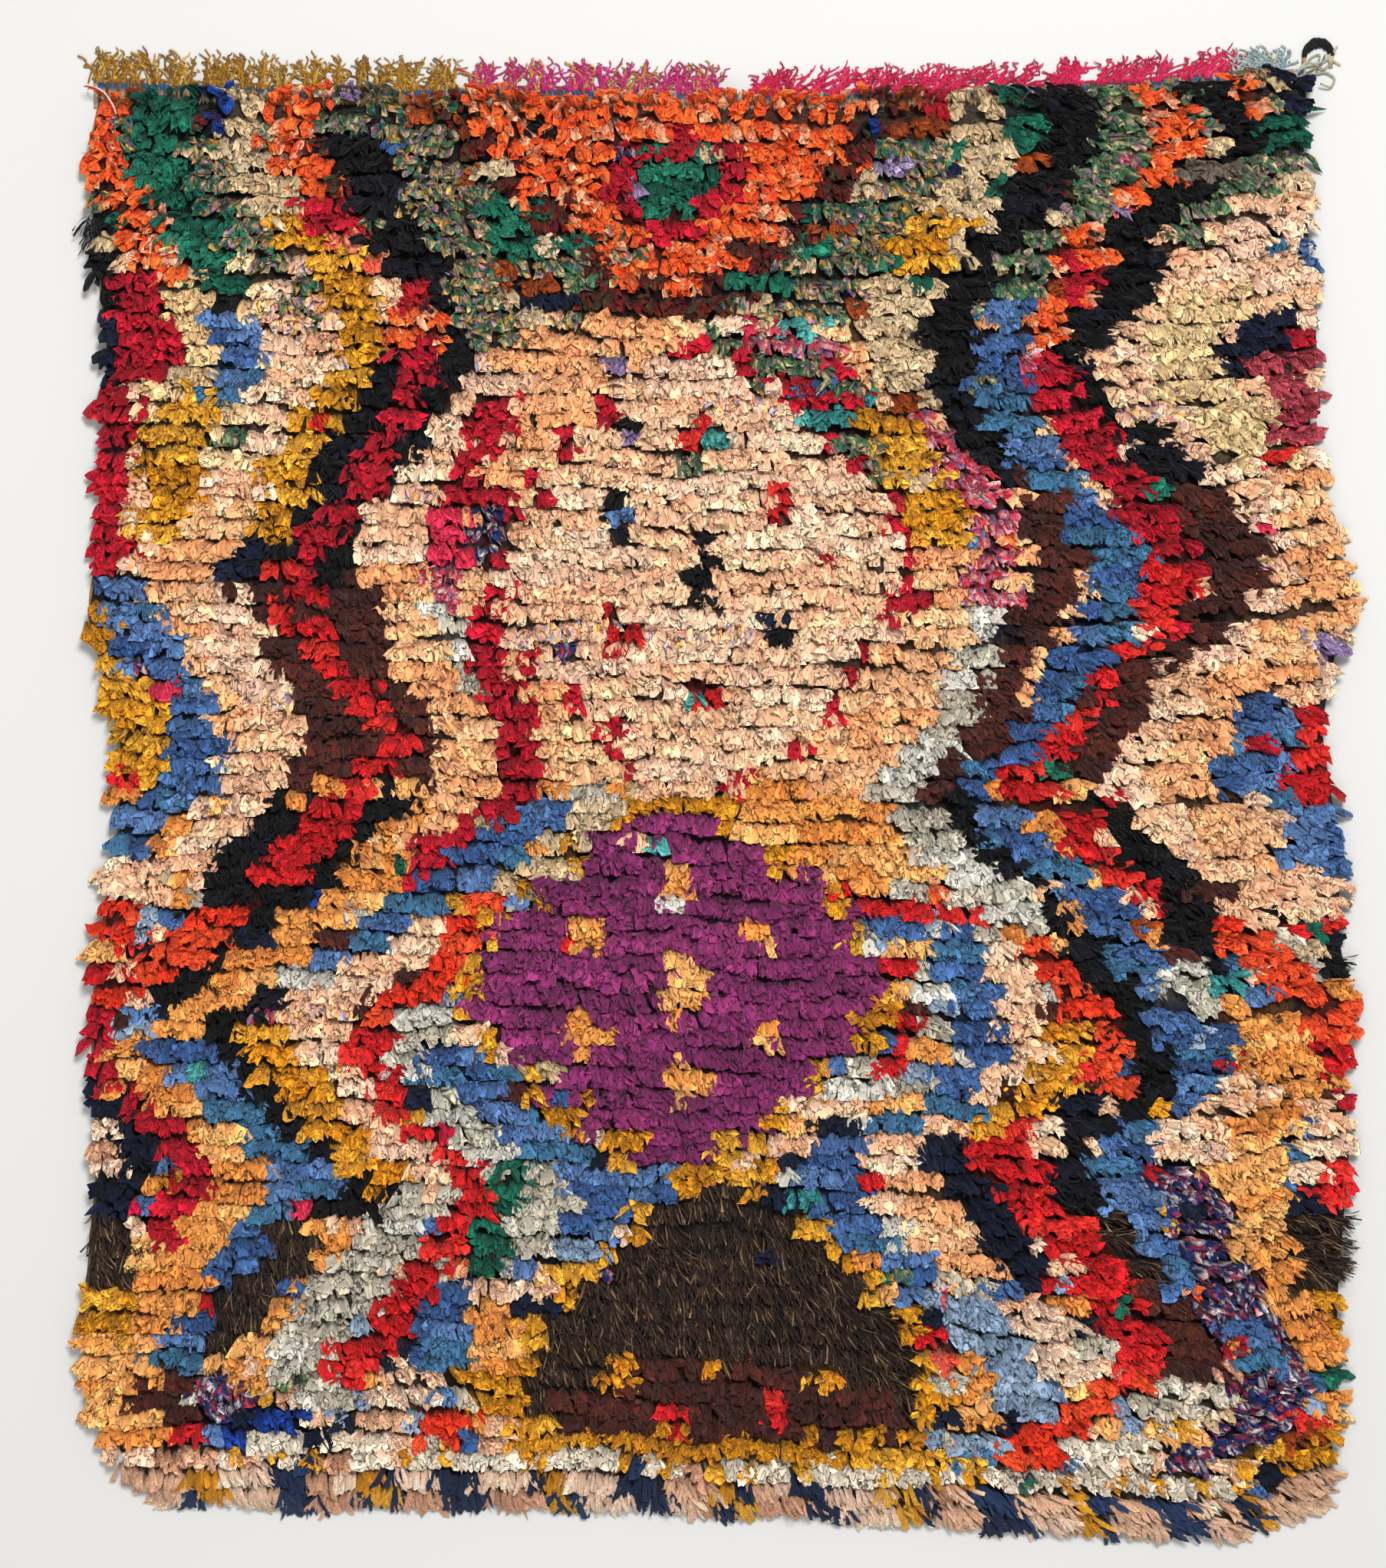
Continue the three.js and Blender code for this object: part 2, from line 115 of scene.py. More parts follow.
# In centimetres: cloth, width, then y, x of each turn of a stripe's middle line; later ones lie on top
STRIPES = (
    ("straw", 12.5, 62.5, -60, 54, -61, 42, -62.5, 38, -60), ("peach", 10.5, 34, -59, 26, -64),
    ("orange", 7, 84, -73, 76, -74, 70, -69, 60, -66), ("black", 6.5, 70, -75, 57, -74),
    ("navy", 6, 57, -74, 48, -73), ("crimson", 8.2, 61, -70, 50, -67, 48, -72, 26, -74),
    ("teal", 7.5, 84, -65, 76, -66, 60, -59), ("garden", 5, 77, -62, 64, -55, 60, -50, 56, -49),
    ("blue", 3.5, 84, -59, 79, -59), ("beige", 5, 84, -55, 76, -57, 67, -52),
    ("orange", 7, 84, -49, 76, -51, 70, -46), ("crimson", 8, 71, -46, 66, -46),
    ("black", 9.5, 79, -44, 56, -31), ("black", 15.5, 56, -32.5, 49, -35.5, 35, -43, 24, -52),
    ("coral", 7, 66, -43, 62, -42), ("mustard", 7, 68, -51, 60, -44, 52, -42, 40, -50, 30, -53),
    ("denim", 6, 58, -60, 52, -56, 47, -58), ("mustard", 8, 47, -60, 44, -64, 30, -66),
    ("crimson", 5.6, 62, -38, 51, -35, 35, -43, 24, -52), ("orange", 7, 57, -37, 53, -36),
    ("garden", 8, 80, -37, 52, -26), ("rust", 4.5, 84, -36, 80, -35),
    ("cream", 9.5, 51, -25, 40, -30, 32, -38, 27, -39), ("crimson", 6.5, 46, -26, 34, -31),
    ("rose", 6, 34, -32, 27, -33), ("print", 4.5, 34, -27, 27, -28), ("navy", 7, 29, -56, 24, -57),
    ("chocolate", 20, 25, -51, 10, -42, 5, -40, 1, -43),
    ("scarlet", 5.6, 27, -51, 22, -51, 6, -38.5, -10, -52), ("peach", 7, 27, -39, 6, -30, -2, -31, -6, -38),
    ("tweed", 6, 27, -33, 22, -33), ("pale", 5.5, 22, -32, 11, -27),
    ("crimson", 6, 21, -28, 0, -23, -6, -32, -14, -38), ("peach", 8, 26, -65, 5, -57),
    ("cream", 7, 24, -60, 8, -52, -10, -62),
    ("denim", 8, 26, -74.5, 21, -70, 5, -61.5, 1, -62, -2, -68, -8, -70),
    ("mustard", 7.8, 23.5, -77, 17, -74.5, 11, -70.6, 1, -68.2), ("scarlet", 6, 3, -73, 0, -69),
    ("cream", 12.5, -8, -70, -13, -70),
    ("black", 17, 0, -44, -10, -53, -14, -54, -18, -60, -22, -61, -26, -57, -30, -60, -44, -46, -50, -44),
    ("scarlet", 8, 0, -44, -10, -52), ("flame", 8, -13, -56, -20, -64, -24, -73, -27, -74),
    ("flame", 10, -13, -71, -18, -73), ("tan", 7.5, -6, -38, -26, -61, -29, -67),
    ("blue", 2.5, -11, -49, -14, -49), ("denim", 8, 0, -17, -15, -38, -20, -41),
    ("beige", 8, 0, -13, -4, -14, -12, -25), ("pale", 6, 2, -17, -1, -14),
    ("cream", 8, -14, -33, -19, -35, -22, -43, -26, -47, -30, -48, -46, -34),
    ("flame", 7, -12, -29, -16, -29, -28, -39),
    ("scarlet", 6.6, -28, -42, -32, -42, -46, -28.5, -57.5, -34, -67, -43.2, -70, -45),
    ("amber", 8.5, -28, -54, -47, -40),
    ("pale", 7, -25, -33, -30, -36, -35, -35, -48, -21, -53, -23, -58, -29),
    ("denim", 7.5, -29, -31, -35, -30, -47, -14, -52, -14), ("teal", 4.5, -44, -24, -58, -29),
    ("tan", 10, -30, -70, -35, -68, -48, -56, -66, -71, -78, -70), ("crimson", 6, -26, -74, -35, -74),
    ("navy", 8, -35, -73, -40, -68, -50, -73), ("blush", 7, -39, -74, -46, -74),
    ("crimson", 5, -35, -69, -46, -62, -54, -66),
    ("denim", 7, -29, -64, -33, -62, -46, -49, -55, -56, -60, -56, -68, -65),
    ("wool", 8.5, -50, -73, -59, -73), ("wool", 6.5, -50, -46, -52, -50, -56, -50, -60, -56, -68, -59),
    ("tan", 5, -51, -44, -56, -45, -68, -55), ("pale", 8, -47, -34.5, -64, -48, -68, -50.5, -73, -47),
    ("mustard", 8.5, -59, -73, -65, -72), ("chocolate", 6.5, -70, -66, -74, -66),
    ("print", 8.5, -68, -65, -70, -59, -74, -58), ("blue", 12, -74, -52, -78, -55),
    ("flame", 8, -70, -40, -74, -33, -78, -33), ("blush", 8, -60, -31, -66, -34, -74, -40, -79, -43),
    ("denim", 9, -60, -30, -68, -33), ("tan", 6.5, -60, -27, -69, -27),
    ("mustard", 12.5, -69, -26, -74, -24), ("blush", 5, -74, -26, -79, -26), ("blue", 6, 84, 19, 77, 19),
    ("rust", 6, 85, 24, 78, 24), ("beige", 6.5, 85, 30, 74, 31, 67, 27),
    ("garden", 7.5, 78, 23, 70, 22, 57, 10, 50, 9), ("bag_rose", 15, 58, 2, 47, 11.5, 38, 19.5, 29, 23.5),
    ("mustard", 8.5, 68, 26, 61, 23), ("beige", 7.5, 60, 22, 56, 19, 45, 25), ("teal", 5.5, 85, 34, 76, 37),
    ("black", 7.4, 85, 40, 77, 41, 56, 26, 36, 32), ("meadow", 7, 85, 46, 76, 47, 68, 42, 64, 36, 59, 35),
    ("denim", 6.4, 59, 35, 50, 32, 44, 34, 27, 47, 15, 42, 0, 28, -14, 45, -32, 56, -36, 56, -40, 49,
     -46, 46, -60, 54, -65, 64, -69, 64),
    ("orange", 7, 85, 50, 76, 54, 61, 40), ("tweed", 5, 70, 47, 68, 46), ("crimson", 7, 62, 42, 58, 43),
    ("orange", 5.5, 58, 40, 53, 37), ("crimson", 8.4, 52, 38, 40, 44, 30, 53, 26, 54),
    ("scarlet", 6.5, 27, 52, 17, 50, 1, 35, -14, 53),
    ("flame", 8, -14, 54, -18, 62, -22, 65, -26, 73, -30, 72), ("scarlet", 6.5, -30, 72, -35, 73),
    ("black", 7.2, 85, 57, 76, 62, 66, 48, 59, 48, 56, 44, 52, 42, 36, 54), ("grey", 5, 74, 58, 72, 57),
    ("chocolate", 7.5, 37, 56, 26, 60, 18, 58, 10, 46, 0, 45),
    ("black", 7, 0, 45, -8, 50, -12, 55, -18, 55, -22, 58), ("chocolate", 7, -10, 53, -13, 60),
    ("black", 4, -13, 64, -15, 66), ("chocolate", 6, 37, 36, 28, 40, 12, 32, 8, 32, 0, 24),
    ("black", 5.5, 0, 26, -6, 30, -18, 42, -34, 52, -42, 41, -46, 40, -50, 42),
    ("wool", 6, -51, 46.2, -59, 49), ("chocolate", 7, -58, 44, -62, 55, -72, 56),
    ("orange", 4.5, 85, 62, 79, 62), ("navy", 6, 85, 68, 80, 68), ("meadow", 9.5, 80, 69, 74, 67, 69, 57),
    ("aqua", 5.5, 74, 72, 70, 72), ("teal", 9, 80, 67, 76, 68), ("meadow", 6.5, 70, 57, 64, 56),
    ("teal", 5.5, 63, 57, 60, 57), ("cream", 10.5, 71, 65, 60, 60, 52, 48, 43, 54),
    ("denim", 5.5, 66, 68, 63, 68), ("grey", 5, 63, 72, 58, 72),
    ("olive", 10, 59, 59, 54, 54, 48, 56, 38, 65), ("navy", 8.5, 56, 65, 50, 61),
    ("maroon", 8, 54, 72, 50, 64, 46, 69, 41, 68), ("crimson", 7.5, 54, 70, 52, 71),
    ("navy", 5, 51, 72, 48, 72),
    ("cream", 6.5, 38, 62, 25, 67, 17, 62, 13, 54, 1, 48, -2, 49, -11, 65, -16, 70),
    ("peach", 9, 39, 69, 20, 73), ("peach", 10.5, 20, 70, 8, 58, 4, 56, 0, 55, -9, 64),
    ("lilac", 6, 18, 73, 14, 72), ("blush", 5.5, 14, 72, 10, 72),
    ("denim", 9.5, 11, 65, 1, 62, -2, 70, -6, 72, -10, 70), ("scarlet", 8.5, 10, 72, -1, 70),
    ("scarlet", 9, -15, 71, -18, 71), ("black", 8, -18, 72, -23, 72), ("pale", 7.5, -20, 54, -26, 56),
    ("tan", 8.5, -25, 64, -34, 66, -46, 61, -62, 68, -70, 74, -79, 73),
    ("cream", 7.5, -33, 64, -39, 57, -44, 56), ("cream", 8.5, -36, 73, -44, 73),
    ("scarlet", 7, -44, 73, -49, 73), ("navy", 5, -47, 68, -50, 68), ("wool", 8.5, -49, 71, -60, 72),
    ("print", 8.5, -45, 54, -56, 58, -68, 65, -74, 64, -80, 56), ("denim", 5.5, -62, 62, -69, 64),
    ("mustard", 7.5, -60, 74, -64, 74), ("mustard", 12, -76, 71, -80, 67),
    ("flame", 6, -18, 36, -30, 46, -36, 46), ("amber", 8, -28, 41, -33, 40, -41, 32),
    ("scarlet", 7.5, -40, 34, -46, 32, -54, 42, -66, 50, -70, 48), ("flame", 8, -70, 48, -78, 36, -82, 36),
    ("navy", 6.5, -40, 27, -45, 26, -53, 34, -59, 36),
    ("cream", 6.5, -17, 31, -29, 36, -33, 34, -41, 20, -45, 19), ("peach", 6.5, -45, 22, -58, 30),
    ("denim", 6.6, -16, 27, -31, 31, -38, 24.5, -42, 14, -46, 11, -62, 27),
    ("bag_pale", 5.2, -14, 21.5, -31, 26.2, -38, 20), ("sky", 8, -60, 28, -68, 34, -74, 36),
    ("blush", 7.5, -60, 36, -70, 42), ("coral", 4, -65, 27, -68, 27), ("tan", 5, -68, 30, -77, 30),
    ("white", 7.5, -69, 56, -76, 55), ("white", 10.5, -76, 45, -80, 45),
    ("pale", 6.5, 14, 27, 8, 26, 0, 20, -16, 36), ("peach", 7.5, 33, 24, 26, 26, 15, 24, 0, 14),
    ("tweed", 5.5, 44, 24, 32, 33, 22, 32), ("mustard", 7, 45, 19, 29, 27), ("pale", 5.5, 22, 32, 14, 30),
)

# cloth, middle x, middle y, half width, half height, step height of a stepped lozenge
LOZENGES = (
    ("berry", -55, 830, 262, 262, 44), ("orange", -55, 830, 236, 236, 44),
    ("crimson", -55, 722, 84, 60, 22), ("teal", -55, 722, 50, 40, 22),
    ("crimson", -25, 262, 256, 276, 44), ("cream", -25, 262, 240, 262, 44),
    ("mustard", -50, -228, 254, 224, 44), ("purple", -50, -228, 236, 208, 44),
    ("mustard", 4, -709, 250, 264, 44), ("wool", 4, -709, 228, 244, 44),
    ("chocolate", 4, -760, 196, 88, 44),
)
# cloth, half width, half height, then x, y of each middle: small filling diamonds
DIAMONDS = (
    ("scarlet", 26, 34, -25, 408, -25, 116), ("scarlet", 22, 30, 70, 336, -120, 188),
    ("black", 30, 40, -25, 262), ("black", 22, 30, -120, 336, 70, 188),
    ("tan", 26, 30, -50, -116, -50, -340), ("tan", 36, 46, -50, -228),
    ("tan", 24, 30, -156, -172, 56, -172, -156, -284, 56, -284),
    ("amber", 24, 24, -116, -694, 4, -694, 124, -694), ("scarlet", 24, 24, -56, -738, 64, -738),
)

# Mixed lots: every few knots another of these
LOTS = {
    "bag_rose": "crimson garden cream rose meadow denim crimson beige aqua tweed".split(),
    "bag_green": "garden garden beige teal beige berry navy rust meadow".split(),
    "bag_pale": "pale denim cream tan pale sky scarlet chocolate".split(),
    "bag_blue": "denim sky tan pale cream scarlet navy blush mustard denim".split(),
}
NAMES = [*CLOTHS, *LOTS]
# lowest y of each ground cloth behind the stripes, from the fringed end down
GROUNDS = ((560, "bag_green"), (20, "peach"), (-110, "tan"), (-360, "bag_pale"), (-900, "bag_blue"))
# cloth, left, right, low, high of the plainer fields at the sides
FIELDS = (("cream", -800, -300, 250, 640), ("cream", 440, 800, -160, 700))
LOZENGE_FULLNESS = 1.4
# Cloths that lie in rounded ruffles; the others stand out in crisp ends, which spill over
KNOTTED = "cream sprig peach beige straw olive pale white sky denim tan chocolate purple grey wool".split()
SPILL = 5

# The frayed border at the plain end, and the rows beside it
BORDER_DEPTH, BORDER_HALF = 56, 630
BORDER_PITCH, BORDER_START = 104, -10
GROUP_WIDTH, GROUP_CORE = 46, 26
SEAM_DEPTH, SEAM_HALF = 26, 610
DOT_START, DOT_WIDTH = -22, 15
BAND_DEPTH, BAND_MIDDLE, BAND_HALF = 50, 10, 262  # under the lowest lozenge


def cloth_at(x, y):
    """The index into NAMES of the cloth knotted at x, y."""
    found = np.zeros(len(x), int)

    def lay(where, name):
        found[where] = NAMES.index(name)

    for low, name in reversed(GROUNDS):
        lay(y >= low, name)
    for name, x0, x1, y0, y1 in FIELDS:
        lay((x > x0) & (x < x1) & (y > y0) & (y < y1), name)
    for name, width, *line in STRIPES:
        turns = CM * np.reshape(line, (-1, 2))[::-1]
        middle = np.interp(y, turns[:, 0], turns[:, 1])
        half = CM * width / 2 - (0 if name in KNOTTED else SPILL)
        lay((y >= turns[0, 0]) & (y <= turns[-1, 0]) & (np.abs(x - middle) < half), name)
    for name, cx, cy, half_width, half_height, step in LOZENGES:
        share = np.floor(np.abs(y - cy) / step) * step / half_height
        half = half_width * (1 - np.minimum(share, 1) ** LOZENGE_FULLNESS)
        lay((np.abs(y - cy) < half_height) & (np.abs(x - cx) < half), name)
    for name, half_width, half_height, *middles in DIAMONDS:
        for cx, cy in np.reshape(middles, (-1, 2)):
            lay(np.abs(x - cx) / half_width + np.abs(y - cy) / half_height < 1, name)
    height = y - plain_end(x)
    lay((height < BORDER_DEPTH + BAND_DEPTH) & (np.abs(x - BAND_MIDDLE) < BAND_HALF), "mustard")
    seam = (height < BORDER_DEPTH + SEAM_DEPTH) & (np.abs(x) < SEAM_HALF)
    lay(seam, "white")
    lay(seam & (np.mod(x - DOT_START, BORDER_PITCH / 2) < DOT_WIDTH), "mustard")
    in_border = height < BORDER_DEPTH
    lay(in_border, "blush")
    from_middle = np.abs(np.mod(x - BORDER_START, BORDER_PITCH) - GROUP_WIDTH / 2)
    group = in_border & (from_middle < GROUP_WIDTH / 2) & (np.abs(x) < BORDER_HALF)
    lay(group, "ink")
    every_other = np.mod(np.floor((x - BORDER_START) / BORDER_PITCH), 2) == 0
    lay(group & every_other & (from_middle < GROUP_CORE / 2), "mustard")
    return found


ROWS = 73
FIRST_ROW, ALL_ROWS = 0.78, ROWS + 0.05  # the first row's place, and the whole pile
MEAN_PLAIN_END, MEAN_LENGTH = -850, 1670
KNOT_SPACING = 15.5
KNOT_JITTER = 0.3  # of the spacing
SIDE_MARGIN = 19
ROW_WANDER, WANDER_LENGTH, ROW_JITTER = 6.5, 240, 1.8
SLITS = ((230, -20), (520, 205), (470, -265))  # from this x on, rows part at this y
SLIT_GAP, SLIT_REACH, SLIT_FADE = 6, 24, 90
ROW_STRAY, STRAY_X, STRAY_Y = 5, 3, 3.5  # how far knots stray
LOT_CHANGE, DYE_CHANGE = 0.3, 0.22  # chances at each knot
SCRAP_SHARE, CALM_SCRAP_SHARE = 0.02, 0.008  # knots that start a run of other cloth; in calm fields
SPRIG_ROWS = 0.5  # rows with a run of sprigged cloth
SCRAP_RUN, SPRIG_RUN = (1, 3), (8, 24)  # knots in a run
SCRAPS = ("crimson orange navy beige teal mustard denim scarlet garden tweed cream black aqua lilac print "
          "pale rose rust meadow").split()
CALM = "cream purple wool chocolate black peach tan".split()


def indices(names):
    return np.array([NAMES.index(name) for name in names])


def smooth_noise(x, y, scale, seed):
    """A soft wave of about -1 to 1 that varies over the given length."""
    turn = np.random.default_rng(seed).uniform(0, math.tau, 6)
    total = np.zeros(np.shape(x))
    for i, angle in enumerate(turn):
        stretch = math.tau / scale * (0.6 + 0.25 * i)
        total = total + np.sin((x * math.cos(angle) + y * math.sin(angle)) * stretch + turn[-1 - i] * 3)
    return total / 3


def knots():
    """x, y, cloth and dye of every rag knot, row by row from the plain end."""
    rows = []
    for row in range(ROWS):
        share = (row + FIRST_ROW) / ALL_ROWS
        y_guess = MEAN_PLAIN_END + share * MEAN_LENGTH
        left, right = left_edge(y_guess) + SIDE_MARGIN, right_edge(y_guess) - SIDE_MARGIN
        count = int((right - left) / KNOT_SPACING)
        order = np.arange(count) + 0.5 + rng.uniform(-KNOT_JITTER, KNOT_JITTER, count)
        x = left + order * (right - left) / count
        y = plain_end(x) + share * (pile_end(x) - plain_end(x))
        y += ROW_WANDER * smooth_noise(x, y * 2, WANDER_LENGTH, 5) + rng.normal(0, ROW_JITTER, count)
        for slit_x, slit_y in SLITS:
            opening = np.exp(-np.abs(y - slit_y) / SLIT_REACH)
            y += SLIT_GAP * np.sign(y - slit_y) * opening * np.clip((x - slit_x) / SLIT_FADE, 0, 1)
        stray = rng.normal(0, ROW_STRAY)
        cloth = cloth_at(x + stray + rng.normal(0, STRAY_X, count), y + rng.normal(0, STRAY_Y, count))
        for name, lot in LOTS.items():
            run = np.cumsum(rng.random(count) < LOT_CHANGE)
            picks = indices(lot)[rng.integers(len(lot), size=count + 1)]
            cloth = np.where(cloth == NAMES.index(name), picks[run], cloth)
        scraps = rng.random(count) < np.where(np.isin(cloth, indices(CALM)), CALM_SCRAP_SHARE, SCRAP_SHARE)
        scraps &= y > plain_end(x) + BORDER_DEPTH
        for i in np.nonzero(scraps)[0]:
            cloth[i:i + rng.integers(*SCRAP_RUN)] = NAMES.index(SCRAPS[rng.integers(len(SCRAPS))])
        if rng.random() < SPRIG_ROWS:
            start = rng.integers(count)
            run = slice(start, start + rng.integers(*SPRIG_RUN))
            cloth[run] = np.where(cloth[run] == NAMES.index("cream"), NAMES.index("sprig"), cloth[run])
        dye = rng.random(count + 1)[np.cumsum(rng.random(count) < DYE_CHANGE)]
        rows.append((x, y, cloth, dye))
    return [np.concatenate(column) for column in zip(*rows)]


def linear(colour):
    c = np.asarray(colour, float) / 255
    return np.where(c < 0.04045, c / 12.92, ((c + 0.055) / 1.055) ** 2.4)


DYE_DEPTH, DYE_GAIN = 1.18, 1.22  # how deep and how bright the dyes are
DYE_LIMIT = 1.06  # the brightest dyes keep their hue
FADED, FADE_RANGE = 0.86, 0.28  # rags of one dye differ by this much
TINT_JITTER, HUE_JITTER = 0.09, 0.015


def palette_of(colours):
    dyes = DYE_GAIN * linear(colours) ** DYE_DEPTH
    return dyes * np.minimum(1, DYE_LIMIT / dyes.max(axis=1))[:, None]


PALETTES = [palette_of(colours) for colours in CLOTHS.values()]
# Prints change colour within a rag end; in mixed cloths it changes from one rag end to the next
PRINTED = indices("garden meadow berry tweed print sprig".split())
MIXED = (*PRINTED, *indices(("orange", "coral", "wool")))


def tints(cloth, dye=None):
    """One colour for each leaf: a mixed cloth's own mix, else the dye that the knot's rag was cut from."""
    out = np.empty((len(cloth), 3))
    for index in np.unique(cloth):
        at = np.nonzero(cloth == index)[0]
        palette = PALETTES[index]
        pick = rng.integers(len(palette), size=len(at))
        if dye is not None and index not in MIXED:
            pick = (dye[at] * len(palette)).astype(int)
        out[at] = palette[pick]
    if dye is not None:
        out *= (FADED + FADE_RANGE * np.mod(dye * 7, 1))[:, None]
    out *= np.exp(rng.normal(0, TINT_JITTER, (len(cloth), 1)))
    return out * np.exp(rng.normal(0, HUE_JITTER, (len(cloth), 3)))


LEAF_ROWS = 4


class Leaves:
    """Rag ends as small bent grids of points, all of one size, collected for one mesh."""

    def __init__(self, columns, crumple=0.3, overhang=0.3, gathered=False):
        self.columns = columns  # points across; along it there are LEAF_ROWS
        self.crumple = crumple  # millimetres
        self.overhang = overhang  # how much of a leaf's reach past its row is left
        self.gathered = gathered  # creases run on from one leaf to the next
        self.points, self.colours, self.weaves = [], [], []


def leaf_points(kind, root, heading, length, width, tilt, tip_tilt, twist, curve, pleat):
    """Points, along and across shares of some leaves. Each rises from its root at tilt, bends over to
    tip_tilt, and waves sideways by curve and pleat."""
    count = len(heading)
    along = np.linspace(0, 1, LEAF_ROWS)[None, :, None] ** 0.85
    across = np.linspace(-1, 1, kind.columns)[None, None, :]

    def wide(values):
        return np.asarray(values, float)[:, None, None]

    bend = wide(np.minimum(tip_tilt - tilt, -0.2))
    angle = wide(tilt) + bend * along
    ragged = 1 + (rng.normal(0, 0.1, (count, 1, kind.columns)) - 0.08 * np.abs(across) ** 3) * along
    run = wide(length) * ragged
    reach = run * (np.sin(angle) - np.sin(wide(tilt))) / bend
    rise = run * (np.cos(wide(tilt)) - np.cos(angle)) / bend
    taper = rng.uniform(-0.5, 0.25, (count, 1, 1))
    side = across * wide(width) / 2 * (0.42 + 0.7 * along ** 0.7 + taper * along ** 3)
    phase = rng.uniform(0, math.tau, (count, 1, 1))
    waves = rng.uniform(0.8, 1.5, (count, 1, 1))
    sign = np.where(np.arange(kind.columns) % 2, 1.0, -1.0)[None, None, :]
    fold = wide(curve) * np.sin(waves * math.pi * across + phase + 0.8 * along)
    fold = (fold + wide(pleat) * sign * rng.uniform(0.2, 1.4, (count, 1, kind.columns))) * along ** 0.6
    turn = wide(twist) * along
    lateral = side * np.cos(turn)
    normal = fold + side * np.sin(turn)
    reach = reach - np.sin(angle) * normal
    height = wide(root[:, 2]) + rise + np.cos(angle) * normal
    sine, cosine = np.sin(wide(heading)), np.cos(wide(heading))
    points = np.stack((
        wide(root[:, 0]) + sine * reach + cosine * lateral,
        wide(root[:, 1]) - cosine * reach + sine * lateral,
        height,
    ), axis=-1)
    points += rng.normal(0, kind.crumple, points.shape) * (0.4 + along[..., None])
    return points, along, across


ROW_FRONT, ROW_BACK = -21.0, 9.0  # how far a row's rags reach


def keep_in_row(y, row_y, overhang):
    """Presses rags that reach past their row back, so that a dark line stays between rows."""
    off = y - row_y[:, None, None]
    near = np.clip(off, ROW_FRONT, ROW_BACK)
    return row_y[:, None, None] + (near + (off - near) * overhang)


LOWEST, HIGHEST = 3.6, 41.0
RIM_START, RIM_FALL = 8, 22.0  # from this far inside the outline, rags sink over this distance


def settle(points):
    """Lowers what hangs past the pile's outline."""
    x, y = points[..., 0], points[..., 1]
    out = np.maximum(np.maximum(left_edge(y) - x, x - right_edge(y)), plain_end(x) - y)
    sink = np.clip((out + RIM_START) / RIM_FALL, 0, 1)
    points[..., 2] = np.clip(points[..., 2] * (1 - 0.75 * sink), LOWEST - 2.6 * sink, HIGHEST)


KNOT_X, KNOT_Y, KNOT_CLOTH, KNOT_DYE = knots()
WIDTH_JITTER, LENGTH_JITTER, TILT_JITTER = 0.2, 0.12, 0.08
TIP_JITTER, GATHERED_TIP_JITTER = 0.22, 0.14
# painted shade and painted highlight on each leaf: how dark its root is painted, where the row above shadows
# it, and how much lighter its tip and outer edges are painted
ROOT_SHADE, GATHERED_ROOT_SHADE = 0.42, 0.55
TIP_HIGHLIGHT, EDGE_HIGHLIGHT = 0.1, 0.1
WEAVE_SHIFT = 900  # each leaf is cut from another place of the cloth


def add_leaves(kind, at, x, y, z, row_y, *, length, width, tilt, tip_tilt, twist, curve, pleat, heading):
    """Leaves for the knots at `at`, in that kind's grid."""
    cloth, dye = KNOT_CLOTH[at], KNOT_DYE[at]
    count = len(x)
    tip_jitter = GATHERED_TIP_JITTER if kind.gathered else TIP_JITTER
    widths = width * np.exp(rng.normal(0, WIDTH_JITTER, count))
    lengths = length * np.exp(rng.normal(0, LENGTH_JITTER, count))
    points, along, across = leaf_points(
        kind, np.stack((x, y, z), axis=-1), heading, lengths, widths,
        tilt + rng.normal(0, TILT_JITTER, count), tip_tilt + rng.normal(0, tip_jitter, count),
        rng.normal(0, twist, count), curve * rng.uniform(0.4, 1.3, count),
        pleat * rng.uniform(0.4, 1.4, count))
    points[..., 1] = keep_in_row(points[..., 1], row_y, kind.overhang)
    settle(points)
    # painted shade towards each leaf's root and painted highlight at its tip and outer edges, multiplied
    # into its colour
    at_root = GATHERED_ROOT_SHADE if kind.gathered else ROOT_SHADE
    shade = at_root + (1 - at_root) * along ** 0.7
    shade = shade * (1 + TIP_HIGHLIGHT * along ** 6) * (1 + EDGE_HIGHLIGHT * np.abs(across) ** 3 * along)
    weave = np.stack(np.broadcast_arrays(
        across * widths[:, None, None] / 2 + rng.uniform(0, WEAVE_SHIFT, (count, 1, 1)),
        along * lengths[:, None, None], rng.uniform(0, WEAVE_SHIFT, (count, 1, 1)) + 0 * across), axis=-1)
    if kind.gathered:
        weave = points * (1, 1, 0.04)
    colours = np.broadcast_to(tints(cloth, dye)[:, None, None, :], points.shape).copy()
    printed = np.isin(cloth, PRINTED)
    spots = tints(np.repeat(cloth[printed], LEAF_ROWS * kind.columns))
    colours[printed] = spots.reshape(-1, LEAF_ROWS, kind.columns, 3)
    kind.points.append(points)
    kind.colours.append(np.clip(colours * shade[..., None], 0, 1))
    kind.weaves.append(weave)


FIBROUS = ("wool", "black")
BLACK_FIBROUS = 0.3  # share of the black knots
SIDE_RIM, TOP_RIM = 26, 20  # where rags turn outwards
